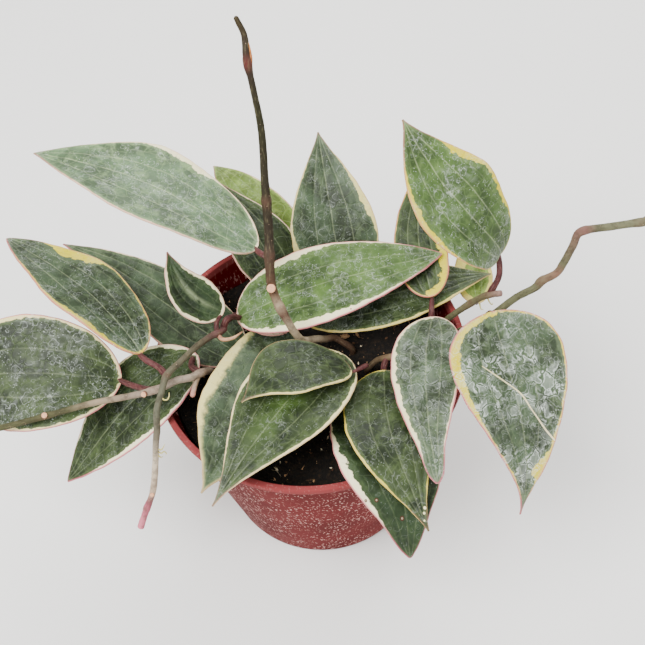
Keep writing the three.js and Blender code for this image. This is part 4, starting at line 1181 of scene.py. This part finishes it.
# small growths: cut scars, dried petioles, air roots, bud scales and the healed split
growths = {
    "scars": [  # stem, share of its length, direction, radius and reach
        ("stem_tall_shoot", 0.415, (-0.1, -0.7, 0.7), 1.75, 2.9),
        ("stem_left_runner", 0.445, (-0.3, -0.75, 0.6), 1.1, 2.4),
        ("stem_left_runner", 0.72, (0.3, -0.35, 0.9), 1.1, 2.4),
        ("stem_hanging", 0.885, (0.05, -0.75, 0.65), 0.85, 1.9),
    ],
    "skins": {  # colours along the rod, then its dark and its pale streaks
        "cutScar": (
            [(0.0, "5a4a38"), (0.7, "6b5844"), (0.84, "8d5048"), (0.93, "b06f5c"), (0.985, "d99a72"),
             (1.0, "e0a67e")], "7a4a38", "f0c8a0",
        ),
        "airRoot": ([(0.0, "a89c50"), (1.0, "d8cc84")], "8a7c3c", "efe6b0"),
        "budScale": ([(0.0, "6b2f2a"), (0.4, "b87038"), (1.0, "d08840")], "4a2a1c", "d89a60"),
        "healedSplitSkin": ([(0.0, "d8cf98"), (1.0, "e4d6b0")], "a08c58", "f4ecd0"),
    },
    "stubStreaks": ("5a4234", "d8b898"),
    "stubs": {  # route, radii and colours of dead petioles and branchlets
        "curledPetiole": (
            [(-37, 6, 109), (-35, 3.5, 109), (-31, 4, 108.5), (-27, 7, 108)], (1.0, 0.8, 0.65, 0.25),
            [(0.0, "8a5a48"), (0.3, "c2906c"), (0.7, "d8ac84"), (1.0, "a06a4c")],
        ),
        "woodyStub": (
            [(-45, -12, 109), (-47, -18, 108.2), (-47.7, -21.5, 108.3)], (1.25, 1.0, 1.1),
            [(0.0, "7c6a55"), (0.5, "8f7c66"), (0.8, "a58674"), (1.0, "c08878")],
        ),
        "branchlet": (
            [(134, 15, 143), (140, 17.5, 145), (147, 19.5, 147)], (0.9, 0.7, 0.45),
            [(0.0, "6a6252"), (0.5, "7c5f58"), (1.0, "8f6a60")],
        ),
    },
    "roots": [
        [(-58, -28.6, 120), (-57, -29.8, 119.6), (-55.8, -29.6, 119.2), (-55, -28.6, 119.8),
         (-54.8, -27.6, 120.6)],
        [(-63, -40.4, 102), (-61.6, -41.2, 101.6), (-60.4, -41, 102.6), (-59.6, -40.2, 103.6)],
        [(-63, -40.6, 100), (-61.8, -41.4, 99.2), (-60.6, -41, 99.6), (-59.8, -41.2, 98.4),
         (-60.2, -41, 97.4)],
        [(-63.6, -40.8, 98), (-62.6, -41.6, 96.6), (-61.8, -41, 95.6)],
        [(74, 4.4, 118), (75, 2.8, 116.4), (76, 3, 115), (76.4, 4, 114.6)],
        [(71, 4.2, 115), (71.4, 2.6, 113.4), (72.4, 2.6, 112.6)],
    ],
    "rootRadii": (0.34, 0.3, 0.24, 0.14),
    "scale": [(-9.9, 50.6, 208.0), (-9.5, 52.4, 211.4), (-9.9, 55.6, 214.8), (-10.6, 57.8, 217.0)],
    "scaleRadii": (0.55, 0.6, 0.5, 0.15),
    "split": [  # place along and across the blade
        (0.23, 0.45), (0.31, 0.15), (0.38, -0.1), (0.45, -0.25), (0.5, -0.4), (0.55, -0.6), (0.6, -0.93),
    ],
    "splitRadii": (0.15, 0.3, 0.25, 0.35, 0.25, 0.35, 0.4),
}


def stopsFinish(name, stops, low, high):  # colour along a small rod, with fine streaks
    made = Finish(name, **{"Specular IOR Level": 0.3})
    streaks = made.grain(made.stretched(made.attribute("bark", "Vector"), (1.0, 1.0, 0.3)), 0.5, 3.0, 0.6)
    colour = made.blend(streaks.rise(0.45, 0.7) * 0.4, made.ramp(made.attribute("along"), stops), tint(low))
    colour = made.blend(streaks.rise(0.5, 0.25) * 0.3, colour, tint(high))
    return made.wear(colour=colour, roughness=0.6 + 0.2 * streaks, normal=made.bump(streaks, 0.15, 0.6))


def rodPiece(lot, route, radii, sides=14, flatEnd=False, spacing=0.35):
    points, _ = curveThrough(route, spacing)
    s = np.linspace(0, 1, len(points))
    lot.add(*tube(points, np.interp(s, np.linspace(0, 1, len(radii)), radii), sides, flatEnd))


def buildScars(look):
    scars = Lot()
    for name, share, direction, radius, reach in look["scars"]:
        points, _ = curveThrough(stems[name]["route"], stemShape["spacing"])
        centre = points[round(share * (len(points) - 1))]
        heading = unit(np.array(direction))
        route = [centre, centre + heading * reach * 0.5, centre + heading * reach]
        rodPiece(scars, route, (radius * 0.9, radius * 1.05, radius), 20, True, 0.2)
    scars.piece("cutScars", stopsFinish("cutScar", *look["skins"]["cutScar"]), "stem")


def buildStubs(look):
    for name, (route, radii, colours) in look["stubs"].items():
        stub = Lot()
        rodPiece(stub, route, radii)
        stub.piece(name, stopsFinish(name + "Skin", colours, *look["stubStreaks"]), "stem")


def buildRootsAndScales(look):
    roots, scales = Lot(), Lot()
    for route in look["roots"]:
        rodPiece(roots, route, look["rootRadii"], 8, spacing=0.2)
    roots.piece("airRoots", stopsFinish("airRoot", *look["skins"]["airRoot"]), "stem")
    rodPiece(scales, look["scale"], look["scaleRadii"], 12, spacing=0.25)
    scales.piece("budScales", stopsFinish("budScale", *look["skins"]["budScale"]), "stem")


def buildSplit(look):  # a healed tear across the outer right leaf
    place = bladeSurface({**bladeDefaults, **leaves["leaf_right_outer"]})[0]
    path = [place(t, v, blade["thickness"] / 2) for t, v in look["split"]]
    split = Lot()
    rodPiece(split, path, look["splitRadii"], 8, spacing=0.4)
    splitSkin = stopsFinish("healedSplitSkin", *look["skins"]["healedSplitSkin"])
    split.piece("healedSplit", splitSkin, "leaf")


buildScars(growths)
buildStubs(growths)
buildRootsAndScales(growths)
buildSplit(growths)
print("scars, roots, scales and the healed split built")
